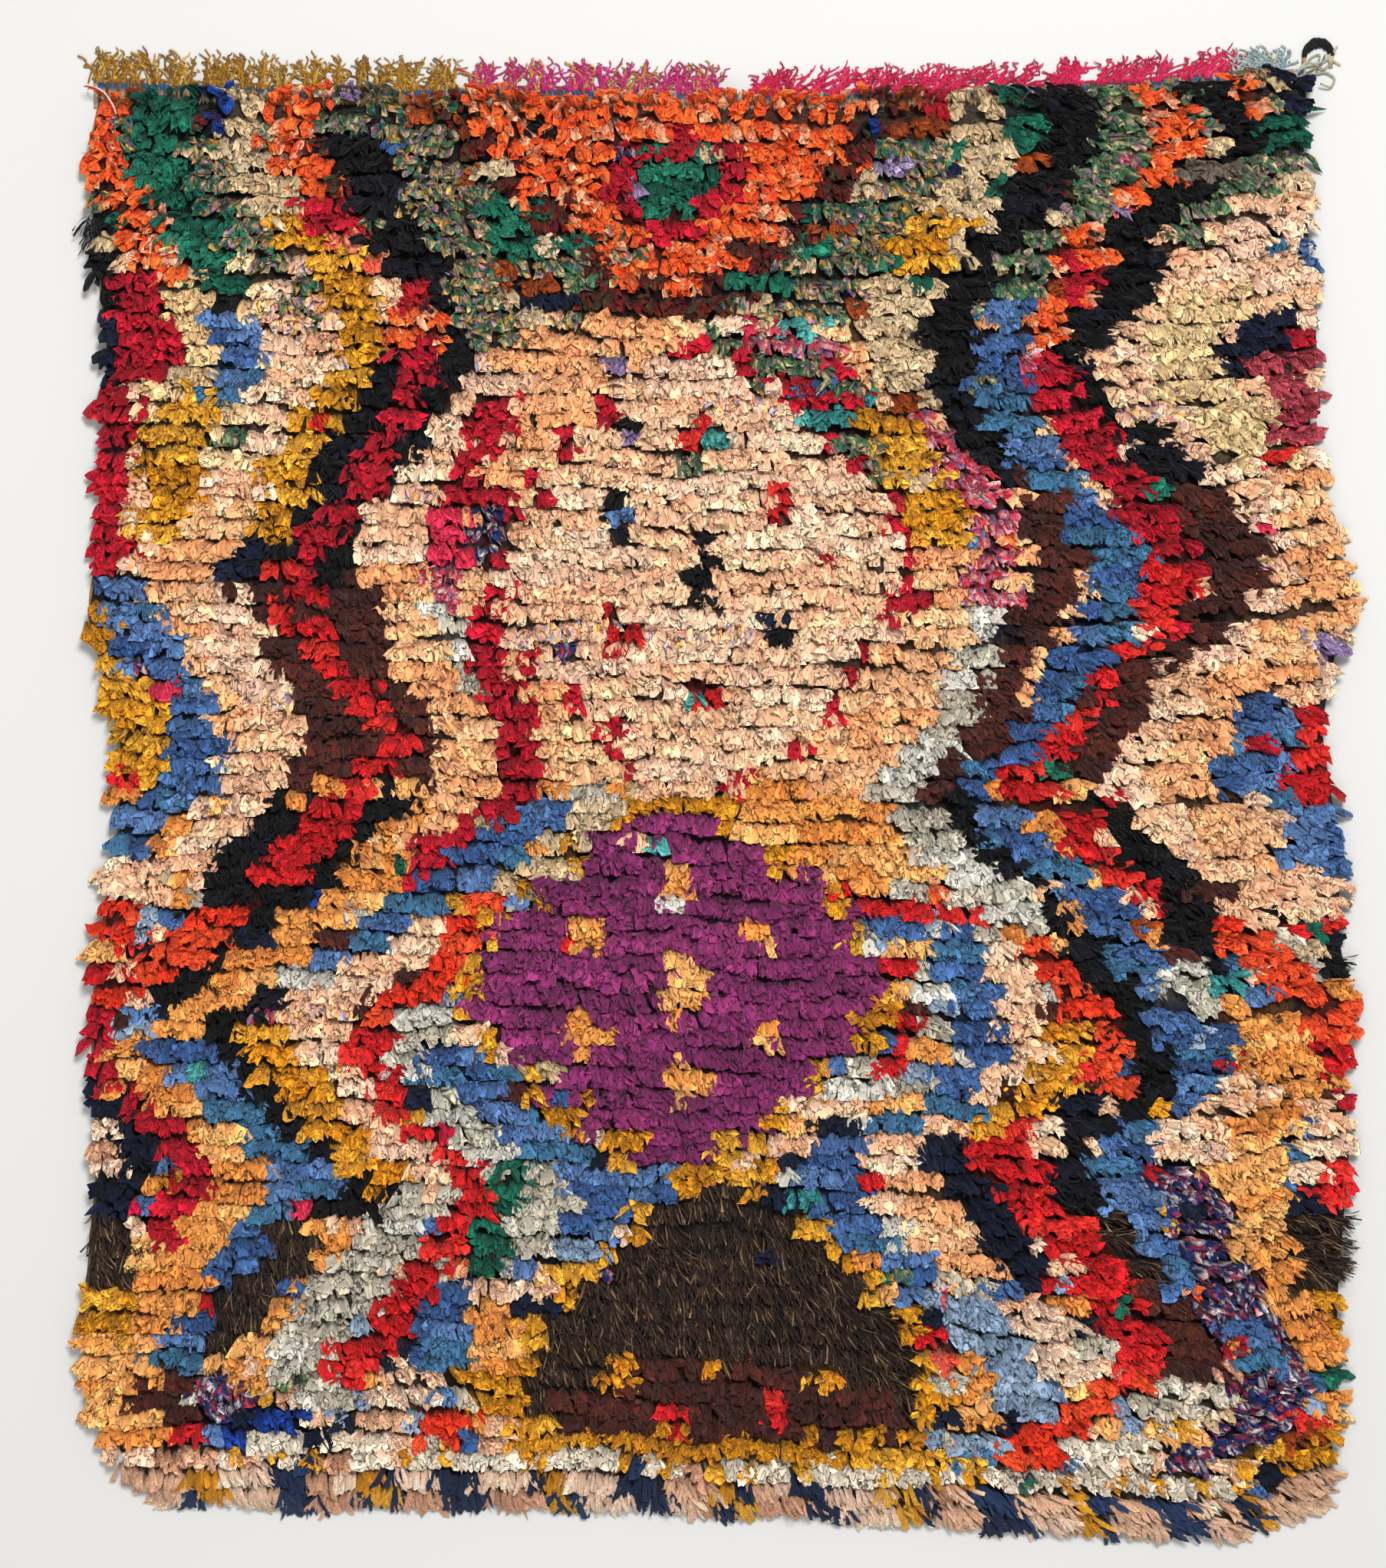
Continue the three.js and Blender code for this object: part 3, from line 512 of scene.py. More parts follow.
# Rag ends over a knot: across and along the rug from the knot, root height, length, width, tilt, tip tilt,
# curve, and how far their headings spread
CRISP_ENDS = (
    (-4.5, 5.0, 12, 34, 12, 1.2, -0.4, 2.2, 0.3), (4.5, 4.5, 12, 33, 12, 1.2, -0.4, 2.2, 0.3),
    (-3.5, 1.5, 14, 28, 11, 1.3, -0.1, 2.8, 0.5), (3.5, 0.0, 15, 25, 11, 1.4, 0.2, 3.2, 0.8),
    (0.0, -2.0, 15, 20, 11, 1.5, 0.6, 3.6, 1.3),
)
RUFFLES = (
    (-5.5, 5.0, 12, 34, 14, 1.2, -0.5, 1.6, 0.25), (0.0, 5.5, 12, 34, 14, 1.2, -0.5, 1.6, 0.25),
    (5.5, 4.5, 12, 33, 14, 1.2, -0.4, 1.6, 0.25), (-2.0, 0.5, 15, 27, 13, 1.35, 0.0, 2.8, 0.5),
    (2.5, -1.5, 15, 20, 15, 1.5, 0.5, 3.8, 1.1),
)
STRANDS_PER_KNOT, FRAYED_PER_KNOT, LOOSE_PER_KNOT = 34, 13, 7


def pile():
    """The rag pile: four kinds of leaves over all the knots."""
    x, y, cloth = KNOT_X, KNOT_Y, KNOT_CLOTH
    in_border = y < plain_end(x) + BORDER_DEPTH
    fibrous = np.isin(cloth, indices(FIBROUS))
    fibrous &= rng.random(len(x)) < np.where(cloth == NAMES.index("wool"), 1.0, BLACK_FIBROUS)
    ruffled = np.isin(cloth, indices(KNOTTED)) & ~fibrous & ~in_border
    crisp = ~fibrous & ~ruffled & ~in_border
    rim_left = np.clip(1 - (x - left_edge(y)) / SIDE_RIM, 0, 1)
    rim_right = np.clip(1 - (right_edge(y) - x) / SIDE_RIM, 0, 1)
    rim_top = np.clip(1 - (pile_end(x) - y) / TOP_RIM, 0, 1)
    lay = 0.12 + 0.75 * np.clip((x - 120) / 350, 0, 1) - 0.25 * np.clip((-x - 350) / 300, 0, 1)
    lean = 0.2 * rim_right - 0.7 * rim_left + lay + 0.3 * smooth_noise(x, y, 260, 9)
    swell = 1 + 0.10 * smooth_noise(x, y, 110, 3)

    crisp_leaves, ruffles = Leaves(4, 0.8), Leaves(5, 0.35, 0.14, True)
    strands, fray = Leaves(2), Leaves(3)

    def scatter(at, spread):
        """Headings about the lay of the pile, all round at the top rim."""
        turn = rng.normal(0, spread, len(at))
        over = rng.random(len(at)) < 0.8 * rim_top[at]
        return lean[at] + turn + np.where(over, math.pi, 0)

    def jitter(at, amount):
        return rng.normal(0, amount, len(at))

    def hang(kind, at, table, pleat, jog):
        """Rag ends over some knots, by a table."""
        for dx, dy, z, long, wide, tilt, tip, curve, spread in table:
            add_leaves(
                kind, at, x[at] + dx + jitter(at, 1.8), y[at] + dy + jitter(at, 1.5),
                z + jitter(at, 1.2), y[at] + jitter(at, jog), length=long * swell[at],
                width=wide, tilt=tilt, tip_tilt=tip, twist=0.4, curve=curve, pleat=pleat,
                heading=scatter(at, spread))

    hang(crisp_leaves, np.nonzero(crisp)[0], CRISP_ENDS, 2.2, 1.4)
    hang(ruffles, np.nonzero(ruffled)[0], RUFFLES, 1.7, 1.0)

    at = np.repeat(np.nonzero(fibrous)[0], STRANDS_PER_KNOT)
    add_leaves(
        strands, at, x[at] + rng.uniform(-9, 9, len(at)), y[at] + rng.uniform(-3, 8, len(at)),
        rng.uniform(8, 14, len(at)), y[at], length=31 * swell[at], width=1.5, tilt=1.2,
        tip_tilt=-0.5, twist=0.8, curve=0.6, pleat=0.5, heading=scatter(at, 0.32) + 0.2)

    at = np.repeat(np.nonzero(in_border)[0], FRAYED_PER_KNOT)
    add_leaves(
        fray, at, x[at] + rng.uniform(-9, 9, len(at)), y[at] + rng.uniform(-4, 9, len(at)),
        rng.uniform(5, 14, len(at)), y[at] + rng.normal(-2, 4, len(at)), length=36 * swell[at],
        width=6, tilt=1.1, tip_tilt=-0.6, twist=0.7, curve=1.4, pleat=1.0, heading=scatter(at, 0.28))
    # loose ends along the right side
    at = np.repeat(np.nonzero(rim_right > 0.2)[0], LOOSE_PER_KNOT)
    add_leaves(
        fray, at, x[at] + rng.uniform(-9, 5, len(at)), y[at] + rng.uniform(-6, 9, len(at)),
        rng.uniform(8, 16, len(at)), y[at], length=25 * swell[at], width=3.2, tilt=1.0,
        tip_tilt=-0.5, twist=0.8, curve=1.2, pleat=0.6, heading=1.1 + rng.normal(0, 0.4, len(at)))
    return crisp_leaves, ruffles, strands, fray


FACE_LIMIT = 190000  # triangles in one piece
CELL_LOW, CELL_HIGH = 0.12, 0.88  # the part of its cell that a grid fills


def grid_faces(count, rows, columns):
    """Quads of `count` grids that follow one another."""
    at = np.arange(rows * columns).reshape(rows, columns)
    one = np.stack((at[:-1, :-1], at[:-1, 1:], at[1:, 1:], at[1:, :-1]), axis=-1).reshape(-1, 4)
    return (one[None] + (np.arange(count) * rows * columns)[:, None, None]).reshape(-1, 4)


def cell_uvs(count, rows, columns):
    """A square cell of the unit square for each grid."""
    side = math.ceil(math.sqrt(count))
    cell = np.arange(count)
    corner = np.stack((cell % side, cell // side), axis=-1)[:, None, None, :]
    u, v = np.meshgrid(np.linspace(CELL_LOW, CELL_HIGH, columns), np.linspace(CELL_LOW, CELL_HIGH, rows))
    return ((corner + np.stack((u, v), axis=-1)[None]) / side).reshape(-1, 2)


def new_object(name, data):
    """An object in the scene."""
    made = bpy.data.objects.new(name, data)
    bpy.context.scene.collection.objects.link(made)
    return made


def new_mesh(name, points, faces, uvs, colours, smooth=True, weave=None):
    """An object made from arrays: points in millimetres of the drawing, faces of equal length."""
    mesh = bpy.data.meshes.new(name)
    points = (points.reshape(-1, 3) + SHIFT) * MM
    size = faces.shape[1]
    mesh.vertices.add(len(points))
    mesh.vertices.foreach_set("co", points.ravel())
    mesh.loops.add(faces.size)
    mesh.loops.foreach_set("vertex_index", faces.ravel())
    mesh.polygons.add(len(faces))
    mesh.polygons.foreach_set("loop_start", np.arange(len(faces)) * size)
    mesh.polygons.foreach_set("loop_total", np.full(len(faces), size))
    mesh.update(calc_edges=True)
    mesh.polygons.foreach_set("use_smooth", np.full(len(faces), smooth))
    layer = mesh.uv_layers.new(name="OFBake")
    layer.data.foreach_set("uv", uvs[faces].ravel())
    rgba = np.ones((len(points), 4))
    rgba[:, :3] = colours.reshape(-1, 3)
    mesh.color_attributes.new("tint", "FLOAT_COLOR", "POINT").data.foreach_set("color", rgba.ravel())
    # millimetres across and along the cloth, for its folds
    if weave is None:
        weave = points / MM
    mesh.attributes.new("weave", "FLOAT_VECTOR", "POINT").data.foreach_set("vector", np.ravel(weave))
    mesh.validate()
    return new_object(name, mesh)


def dress(shape, material, node):
    """Gives a piece its material and its place on the part."""
    shape.data.materials.append(material)
    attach(shape, "root")
    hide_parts(node)
    return shape


def grid_object(name, points, colours, material, node, smooth=True, weave=None):
    """A piece of equal grids of points, such as rag ends or cords."""
    count, rows, columns = points.shape[:3]
    shape = new_mesh(name, points, grid_faces(count, rows, columns), cell_uvs(count, rows, columns),
                     colours, smooth, weave)
    return dress(shape, material, node)


def leaf_objects(name, kind, material, smooth):
    """The leaves of one kind, from the plain end on, in pieces under the face limit."""
    points = np.concatenate(kind.points)
    order = np.argsort(points[:, 0, 0, 1], kind="stable")
    points = points[order]
    colours = np.concatenate(kind.colours)[order]
    weaves = np.concatenate(kind.weaves)[order]
    triangles = (LEAF_ROWS - 1) * (kind.columns - 1) * 2
    parts = math.ceil(len(points) / (FACE_LIMIT // triangles))
    for part in range(parts):
        here = slice(part * len(points) // parts, (part + 1) * len(points) // parts)
        grid_object(f"{name}_{part + 1}", points[here], colours[here], material, "pile_slab",
                    smooth, weaves[here])


# Materials

def new_material(name):
    """A material with functions that add a node to it, and that feed its shader."""
    material = bpy.data.materials.new(name)
    material.use_nodes = True
    nodes, links = material.node_tree.nodes, material.node_tree.links

    def feed(node, inputs):
        """Sets a node's inputs to values, or links them to other nodes."""
        for key, value in inputs.items():
            if isinstance(value, bpy.types.NodeSocket):
                links.new(value, node.inputs[key])
            else:
                node.inputs[key].default_value = value

    def add(kind, inputs, **settings):
        """A new node with these inputs and settings."""
        node = nodes.new("ShaderNode" + kind)
        for key, value in settings.items():
            setattr(node, key, value)
        feed(node, inputs)
        return node

    def shade(inputs):
        feed(nodes["Principled BSDF"], inputs)

    return material, add, shade


def cloth_material(name, roughness, sheen, fold, detail, depth, crease_depth, bump):
    """Dyed cloth: the tint of each rag, with painted shade in its folds and creases, mottled, with a weave
    in the bump.
    fold is how many folds there are to a millimetre across the rag, depth how dark the painted shade in the
    folds is."""
    material, add, shade = new_material(name)

    def noise(scale, detail, distortion, vector):
        return add("TexNoise", {"Scale": scale, "Detail": detail, "Roughness": 0.6,
                                "Distortion": distortion, "Vector": vector}).outputs["Fac"]

    def spread(value, low, high, to_low, to_high):
        return add("MapRange", {"From Min": low, "From Max": high, "To Min": to_low, "To Max": to_high,
                                "Value": value}).outputs["Result"]

    def work(operation, first, second):
        return add("Math", {0: first, 1: second}, operation=operation).outputs["Value"]

    tint = add("VertexColor", {}, layer_name="tint").outputs["Color"]
    weave = add("Attribute", {}, attribute_name="weave").outputs["Vector"]
    stretched = add("Mapping", {"Scale": (fold, fold / 1.7, 1), "Vector": weave}).outputs["Vector"]
    folds = noise(1.0, detail, 1.0, stretched)
    mottle = noise(0.25, 5.0, 0.0, weave)
    # painted shade: darker where the fold noise is low, as in the hollows of folds, and darker still along
    # thin crease lines
    dark = spread(folds, 0.36, 0.58, 1 - depth, 1.1)
    near_half = work("ABSOLUTE", work("SUBTRACT", folds, 0.53), 0.0)
    crease_shade = spread(near_half, 0.01, 0.05, 1 - crease_depth, 1.0)
    uneven = spread(mottle, 0.3, 0.7, 0.88, 1.1)
    shade_and_mottle = work("MULTIPLY", work("MULTIPLY", dark, crease_shade), uneven)
    colour = add("VectorMath", {0: tint, "Scale": shade_and_mottle}, operation="SCALE").outputs["Vector"]
    threads = add("TexWave", {"Scale": 0.5, "Distortion": 2.0, "Vector": weave}).outputs["Fac"]
    height = work("ADD", work("MULTIPLY", threads, 0.05), folds)
    relief = add("Bump", {"Strength": bump, "Distance": 0.006, "Height": height}).outputs["Normal"]
    shade({"Roughness": roughness, "Sheen Weight": sheen, "Sheen Roughness": 0.5,
           "Specular IOR Level": 0.12, "Base Color": colour, "Normal": relief})
    return material


CRISP = cloth_material("crisp_cotton", 0.85, 0.03, 0.15, 0.8, 0.4, 0.78, 0.9)
RUFFLED = cloth_material("cotton_jersey", 0.92, 0.05, 0.12, 0.5, 0.3, 0.88, 1.0)
WOOLLEN = cloth_material("wool_yarn", 0.95, 0.06, 0.6, 2.0, 0.4, 0.5, 0.8)
GROUND = cloth_material("wool_ground", 0.95, 0.05, 0.5, 2.0, 0.4, 0.5, 0.9)
YARN = cloth_material("fringe_yarn", 0.85, 0.08, 0.9, 2.0, 0.35, 0.5, 0.7)

crisp_leaves, ruffles, strands, fray = pile()
leaf_objects("rags_crisp", crisp_leaves, CRISP, False)
leaf_objects("rags_ruffled", ruffles, RUFFLED, False)
leaf_objects("rags_wool", strands, WOOLLEN, True)
leaf_objects("rags_frayed", fray, WOOLLEN, True)


def shares(columns, rows):
    """Shares from 0 to 1, across and along a grid."""
    return np.meshgrid(np.linspace(0, 1, columns), np.linspace(0, 1, rows))


def slab(name, x, y, top, base, tint):
    """A closed slab under the grid x, y: upper side, flat base and the wall round them."""
    rows, columns = x.shape
    upper = np.stack((x, y, top), axis=-1).reshape(-1, 3)
    lower = upper * (1, 1, 0) + (0, 0, base)
    faces = grid_faces(1, rows, columns)
    at = np.arange(x.size).reshape(rows, columns)
    rim = np.concatenate((at[0, :-1], at[:-1, -1], at[-1, :0:-1], at[:0:-1, 0]))
    after = np.roll(rim, -1)
    wall = np.stack((rim, rim + x.size, after + x.size, after), axis=-1)
    uvs = np.stack(shares(columns, rows), axis=-1).reshape(-1, 2) * (0.48, 0.96) + 0.01
    return new_mesh(
        name, np.concatenate((upper, lower)), np.concatenate((faces, faces[:, ::-1] + x.size, wall)),
        np.concatenate((uvs, uvs + (0.5, 0))), np.concatenate((tint, tint)))


# The bed under the rags, a real layer under the knots, coloured as painted shadow

BED_POINTS = 90  # each way
BED_BASE, BED_TOP, BED_LUMP, BED_RIDGE = 3.4, 12.0, 3.0, 2
BED_INSET, BED_END_INSET, BED_RIM = 10, 4, 60
BED_SHADE = 0.07


def pile_bed():
    across, along = shares(BED_POINTS, BED_POINTS)
    y_flat = MEAN_PLAIN_END + along * MEAN_LENGTH
    left, right = left_edge(y_flat) + 2 * BED_INSET, right_edge(y_flat) - BED_INSET
    x = left + across * (right - left)
    y = plain_end(x) + BED_INSET + along * (pile_end(x) - plain_end(x) - BED_INSET - BED_END_INSET)
    rim = BED_RIM * np.min((across, 1 - across, along, 1 - along), axis=0)
    swell = np.sqrt(1 - (1 - np.clip(rim, 0, 1)) ** 2)
    top = BED_BASE + 0.3 + swell * (BED_TOP - BED_BASE + BED_LUMP * smooth_noise(x, y, 40, 12)
                                    + BED_RIDGE * np.sin(along * ROWS * math.tau))
    cloth = cloth_at(x.ravel(), y.ravel())
    # painted shadow: the bed shows only in the gaps between knots, so it takes the colour of the cloth
    # above, darkened almost to black
    tint = tints(np.where(cloth < len(CLOTHS), cloth, NAMES.index("navy"))) * BED_SHADE
    dress(slab("pile_bed", x, y, top, BED_BASE, tint), RUFFLED, "pile_slab")


pile_bed()

# The woven ground, with its ribbed heading past the pile

CLOTH_INSET, CLOTH_LENGTH = 17, 1690
CLOTH_BASE, CLOTH_THICKNESS = 0.15, 3.0
CLOTH_ACROSS, CLOTH_ALONG = 90, 56
HEADING_SHARE, HEADING_LEFT, HEADING_RIGHT = 0.9, -746, 704
WOOL_SHARE = 0.55


def ground_cloth():
    across, along = shares(CLOTH_ACROSS, CLOTH_ALONG)
    y_flat = MEAN_PLAIN_END + along * CLOTH_LENGTH
    left, right = left_edge(y_flat) + CLOTH_INSET, right_edge(y_flat) - CLOTH_INSET
    left = np.where(along > HEADING_SHARE, np.maximum(left, HEADING_LEFT), left)
    right = np.where(along > HEADING_SHARE, np.minimum(right, HEADING_RIGHT), right)
    x = left + across * (right - left)
    low = plain_end(x) + CLOTH_INSET
    y = low + along * (heading_edge(x) - 1 - low)
    cloth = cloth_at(x.ravel(), y.ravel())
    tint = tints(np.where(cloth < len(CLOTHS), cloth, NAMES.index("denim")))
    wool = linear((170, 142, 108))
    in_heading = (y > pile_end(x) - 8).ravel()[:, None]
    tint = np.where(in_heading, wool * 0.7, tint * (1 - WOOL_SHARE) + wool * WOOL_SHARE)
    top = np.full_like(x, CLOTH_THICKNESS)
    return dress(slab("woven_ground", x, y, top, CLOTH_BASE, tint), GROUND, "ground_cloth")


woven_ground = ground_cloth()

HEADING_PITCH, HEADING_FROM, HEADING_TO = 4.6, -742, 700
HEADING_COLOURS = ((196, 164, 132), (120, 82, 58), (168, 128, 70), (206, 182, 156))
WEFT_COLOUR, WEFT_ROWS = (46, 96, 146), slice(5, 7)


def heading_cords():
    """The warp cords that show between the pile and the fringe, and the blue weft."""
    x = np.arange(HEADING_FROM, HEADING_TO, HEADING_PITCH)
    x = x + rng.normal(0, 0.4, len(x))
    pile_y, edge_y = pile_end(x) - 14, heading_edge(x) + 2
    along = np.linspace(0, 1, 8)[None, :, None]
    across = np.linspace(-1, 1, 3)[None, None, :]
    points = np.stack(np.broadcast_arrays(
        x[:, None, None] + across * 2.0, pile_y[:, None, None] + along * (edge_y - pile_y)[:, None, None],
        5.2 - 2.0 * across ** 2 + 0.5 * np.sin(along * 30)), axis=-1)
    shades = linear(HEADING_COLOURS)
    tint = shades[rng.integers(4, size=len(x))] * np.exp(rng.normal(0, 0.15, (len(x), 1)))
    colours = np.broadcast_to(tint[:, None, None, :], points.shape).copy()
    blue = np.sin(x * 0.9) + 0.5 * np.sin(x * 0.11) > -0.3
    colours[blue, WEFT_ROWS] = linear(WEFT_COLOUR)
    colours = np.clip(colours, 0, 1)
    return grid_object("heading_cords", points, colours, GROUND, "ground_cloth")


heading = heading_cords()

# The fringe: node, slot, first and last x, bundles, reach, lean, colours
FRINGES = (
    ("fringe_ochre", "ochre_yarn", -746, -309, 20, 33, -3, ((176, 124, 18), (142, 92, 12), (210, 176, 96))),
    ("fringe_magenta", "magenta_yarn", -300, 8, 14, 30, 2, ((204, 40, 120), (184, 150, 50), (190, 30, 100))),
    ("fringe_pink", "pink_yarn", 36, 606, 24, 28, 13, ((222, 22, 84), (190, 18, 62), (230, 48, 104))),
    ("fringe_pale_blue", "pale_blue_yarn", 614, 672, 4, 24, 7,
     ((160, 188, 194), (196, 194, 178), (128, 156, 168))),
)
COLOUR_SHARES = (0.6, 0.25, 0.15)
STRANDS = 14  # in a bundle
STRAND_POINTS, STRAND_SIDES = 17, 4
BUNDLE_INSET = 6  # of the outermost bundles from the ends of their cord
BUNDLE_STRAY, BUNDLE_SWAY = 4, 7
STRAND_FAN, ROOT_FAN = 14, 4.5
KNOT_CORD_STEP, KNOT_CORD_SIDES = 3, 6


def tubes(paths, radius, sides):
    """Tubes round (count, n, 3) paths, as (count, n, sides + 1, 3) grids that close on themselves."""
    ahead = np.gradient(paths, axis=1)
    ahead /= np.linalg.norm(ahead, axis=-1, keepdims=True) + 1e-9
    side = np.cross(ahead, (0.0, 0.0, 1.0))
    side /= np.linalg.norm(side, axis=-1, keepdims=True) + 1e-9
    over = np.cross(side, ahead)
    turn = np.linspace(0, math.tau, sides + 1)[None, None, :, None]
    ring = side[:, :, None] * np.cos(turn) + over[:, :, None] * np.sin(turn)
    return paths[:, :, None] + ring * radius[:, :, None, None]


def fringe(node, slot_name, first, last, bundles, reach, lean, shades):
    """One colour group: its curled strands, and the cord and knots that hold them."""
    shades = linear(shades)
    step = np.linspace(0, 1, STRAND_POINTS)
    gather = np.clip((step - 0.15) / 0.85, 0, 1)
    paths, radii, colours = [], [], []
    for place in np.linspace(first + BUNDLE_INSET, last - BUNDLE_INSET, bundles):
        root = place + rng.normal(0, BUNDLE_STRAY)
        sway = rng.normal(0, BUNDLE_SWAY)
        for strand in range(STRANDS):
            long = reach * rng.uniform(0.55, 1.3)
            fan = rng.normal(0, STRAND_FAN)
            phase, waves = rng.uniform(0, math.tau), rng.uniform(1.5, 4.0)
            x = root + rng.normal(0, ROOT_FAN) * (1 - step) + fan * step ** 1.2 + (lean + sway) * gather
            x = x + rng.uniform(2.0, 5.6) * np.sin(step * waves * math.tau + phase) * gather
            y = heading_edge(place) - 3 + step * (long + 4)
            y = y + rng.uniform(0.5, 3) * np.cos(step * waves * 5 + phase) * gather
            y = y - 3 * gather ** 2 * abs(fan) / 10
            z = 3.4 + 2.0 * np.sin(np.clip(step / 0.3, 0, 1) * math.pi)
            z = z + 1.2 * np.cos(step * waves * 5 + phase)
            z = np.maximum(z - 1.2 * gather, 1.1) + 0.35 * strand % 1.2
            paths.append(np.stack((x, y, z), axis=-1))
            thick = rng.uniform(0.95, 1.35)
            radii.append(thick * (1 - 0.35 * step ** 4) * (1 + 0.18 * np.sin(step * 60)))
            tint = shades[rng.choice(3, p=COLOUR_SHARES)] * math.exp(rng.normal(0, 0.15))
            ply = 1 + 0.25 * np.sin(step * 40 + phase)
            colours.append((tint * ply[:, None])[:, None])
    grid = tubes(np.array(paths), np.array(radii), STRAND_SIDES)
    colours = np.broadcast_to(colours, grid.shape)
    strands = grid_object(node + "_strands", grid, colours, YARN, node)

    length = last - first
    count = int(length / KNOT_CORD_STEP)
    x = np.linspace(first, last, count)
    y = heading_edge(x) + 3.2 + rng.normal(0, 0.4, count)
    pitch = (length - 2 * BUNDLE_INSET) / (bundles - 1)
    knot = 0.5 + 0.5 * np.cos((x - first - BUNDLE_INSET) / pitch * math.tau)
    thick = 1.3 + 1.9 * knot ** 3 + rng.uniform(-0.3, 0.3, count)
    path = np.stack((x, y, 3.2 + 0.6 * knot), axis=-1)[None]
    grid = tubes(path, thick[None], KNOT_CORD_SIDES)
    grid[..., 2] = np.clip(grid[..., 2], 0.3, 7.2)
    tint = shades[rng.choice(3, count, p=COLOUR_SHARES)] * np.exp(rng.normal(0, 0.2, (count, 1)))
    colour = np.broadcast_to(tint[None, :, None], grid.shape)
    return strands, grid_object(node + "_knots", grid, colour, YARN, node)


fringe_pieces = [piece for row in FRINGES for piece in fringe(*row)]


def rounded(turns, count):
    """`count` points along a rounded line through the turning points."""
    turns = np.array(turns, float)
    at = np.linspace(0, len(turns) - 1, count)
    line = np.stack([np.interp(at, np.arange(len(turns)), column) for column in turns.T], axis=-1)
    for column in line.T:
        column[2:-2] = np.convolve(column, np.ones(5) / 5, "valid")
    return line


# Where the black rag runs: x, and how far out from the heading's edge
RAG_LINE = ((699, 0.8), (698, 19), (708, 30), (722, 31), (731, 21), (730, 0.8))
RAG_POINTS, RAG_SIDES = 34, 8
RAG_HEIGHT, RAG_FLATNESS, RAG_TOP = 3.6, 0.6, 7.6
RAG_COLOUR, WRAP_COLOUR = (26, 24, 26), (196, 180, 140)
FLOOR_GAP = 0.3


def rag_tie():
    x, out = rounded(RAG_LINE, RAG_POINTS).T
    path = np.stack((x, heading_edge(x) + 2 + out, np.full(RAG_POINTS, RAG_HEIGHT)), axis=-1)[None]
    along = np.linspace(0, 1, RAG_POINTS)
    girth = 2.0 + 4.4 * np.sin(along * math.pi) ** 2 + rng.uniform(-0.5, 0.5, RAG_POINTS)
    grid = tubes(path, girth[None], RAG_SIDES)
    z = grid[..., 2]
    grid[..., 2] = RAG_HEIGHT + (z - RAG_HEIGHT) * RAG_FLATNESS + rng.normal(0, 0.5, z.shape)
    grid[..., :2] += rng.normal(0, 0.7, grid[..., :2].shape)
    grid[:, :, -1] = grid[:, :, 0]
    grid[..., 2] = np.clip(grid[..., 2], FLOOR_GAP, RAG_TOP)
    wrapped = (np.abs(along - 0.5) > 0.36)[None, :, None, None]
    colour = np.where(wrapped, linear(WRAP_COLOUR), linear(RAG_COLOUR))
    colour = np.broadcast_to(colour, grid.shape) * np.exp(rng.normal(0, 0.2, grid.shape[:-1] + (1,)))
    grid_object("rag_tie_loop", grid, colour, CRISP, "rag_tie")


rag_tie()

# Loose thread ends: colour, thickness and path
LOOSE_THREADS = (
    ((226, 216, 198), 1.1,
     ((-750, 828, 9), (-738, 827, 30), (-724, 818, 37), (-714, 802, 36), (-712, 794, 32))),
    ((208, 188, 150), 1.3, ((684, 842, 7), (696, 856, 5), (712, 858, 4), (728, 866, 3), (742, 858, 2))),
    ((176, 180, 150), 1.3, ((706, 846, 8), (724, 850, 5), (736, 842, 3), (730, 830, 6), (716, 834, 12))),
    ((150, 158, 128), 1.1, ((694, 838, 8), (704, 866, 4), (718, 872, 3), (714, 856, 5), (700, 848, 7))),
    ((200, 186, 150), 1.2, ((690, 842, 7), (708, 852, 4), (722, 862, 6), (730, 872, 4), (738, 880, 3))),
    ((166, 190, 188), 1.2, ((684, 846, 7), (702, 858, 5), (716, 860, 7), (726, 864, 4), (736, 874, 3))),
    ((120, 100, 110), 1.0, ((704, 838, 9), (711, 846, 7), (715, 856, 8), (720, 862, 6), (723, 870, 5))),
    ((186, 172, 132), 1.2, ((692, 852, 5), (700, 862, 4), (713, 857, 8), (721, 852, 5), (728, 858, 3))),
)
THREAD_POINTS, THREAD_SIDES = 30, 6


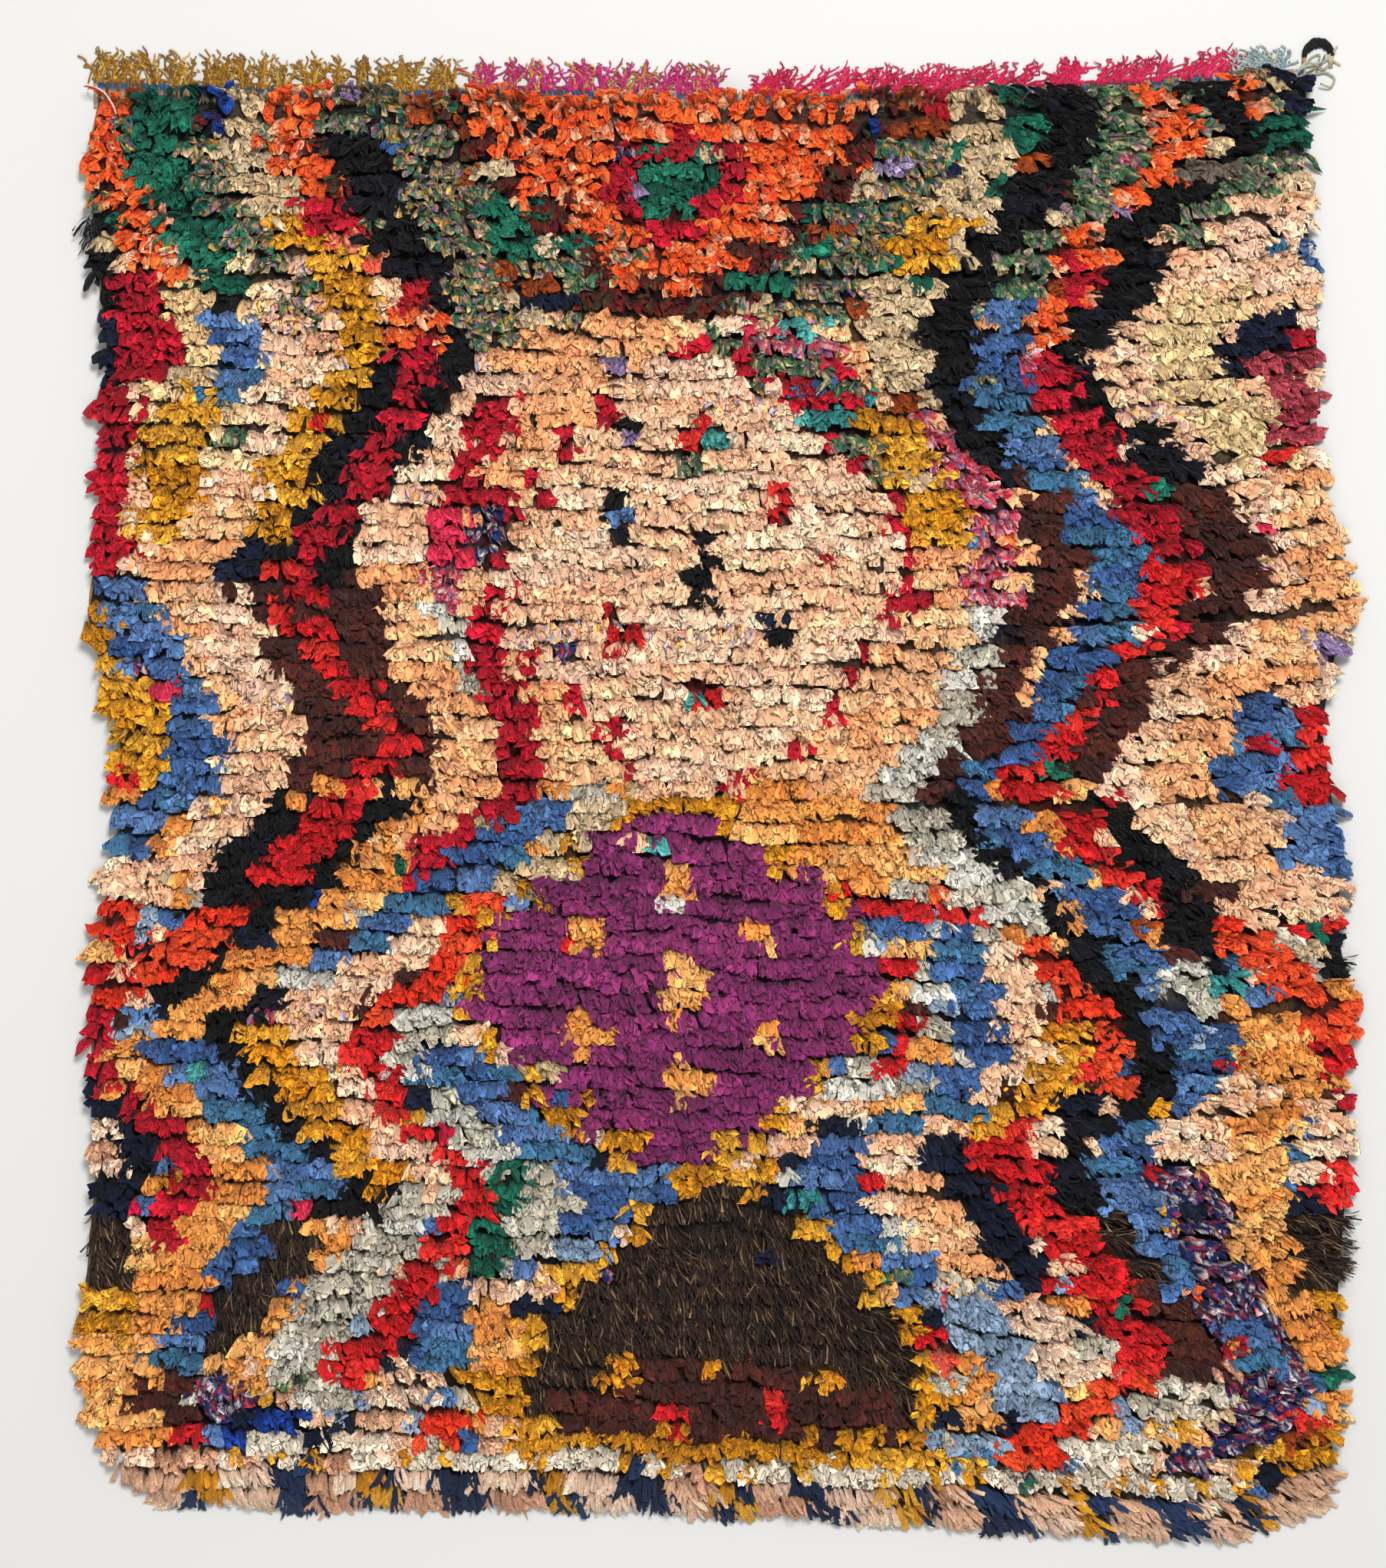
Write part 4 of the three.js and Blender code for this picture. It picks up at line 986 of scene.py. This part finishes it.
def loose_threads():
    grids, colours = [], []
    for colour, thick, path in LOOSE_THREADS:
        line = rounded(path, THREAD_POINTS)
        grids.append(tubes(line[None], np.full((1, THREAD_POINTS), thick), THREAD_SIDES))
        tint = linear(colour) * np.exp(rng.normal(0, 0.12, (1, THREAD_POINTS, 1, 1)))
        colours.append(np.broadcast_to(tint, grids[-1].shape))
    grid_object("loose_threads", np.concatenate(grids), np.concatenate(colours), YARN, "ground_cloth")


loose_threads()

# Floor, light and camera

FRAME_MIDDLE, FRAME_HEIGHT = -0.028, 1.870  # metres: the picture's middle and height
LENS, SENSOR = 70.0, 36.0


def floor_material():
    material, add, shade = new_material("pale_plaster")
    noise = add("TexNoise", {"Scale": 3.0}).outputs["Fac"]
    ramp = add("ValToRGB", {"Fac": noise})
    ramp.color_ramp.elements[0].color = (0.448, 0.444, 0.434, 1)
    ramp.color_ramp.elements[1].color = (0.466, 0.463, 0.455, 1)
    shade({"Roughness": 0.9, "Base Color": ramp.outputs["Color"]})
    return material


bpy.ops.mesh.primitive_plane_add(size=30)
floor = bpy.context.object
floor.name = "floor"
floor.data.materials.append(floor_material())


def soft_light(name, place, size, watts):
    """A square light that shines at the middle of the rug."""
    data = bpy.data.lights.new(name, "AREA")
    data.size = size
    data.energy = watts
    light = new_object(name, data)
    light.location = place
    light.rotation_euler = (-light.location).to_track_quat("-Z", "Y").to_euler()


soft_light("key", (0.6, 1.8, 4.6), 1.2, 315)
soft_light("fill", (-0.6, -1.8, 4.0), 2.5, 64)
world = bpy.data.worlds.new("studio")
world.use_nodes = True
glow = world.node_tree.nodes["Background"].inputs
glow["Color"].default_value = (1.0, 0.99, 0.97, 1)
glow["Strength"].default_value = 0.58
bpy.context.scene.world = world
bpy.context.scene.view_settings.view_transform = "Standard"

lens = bpy.data.cameras.new("camera")
lens.lens = LENS
lens.sensor_width = SENSOR
camera = new_object("camera", lens)
camera.location = (FRAME_MIDDLE, 0.0, FRAME_HEIGHT / 2 * LENS / (SENSOR / 2))
bpy.context.scene.camera = camera
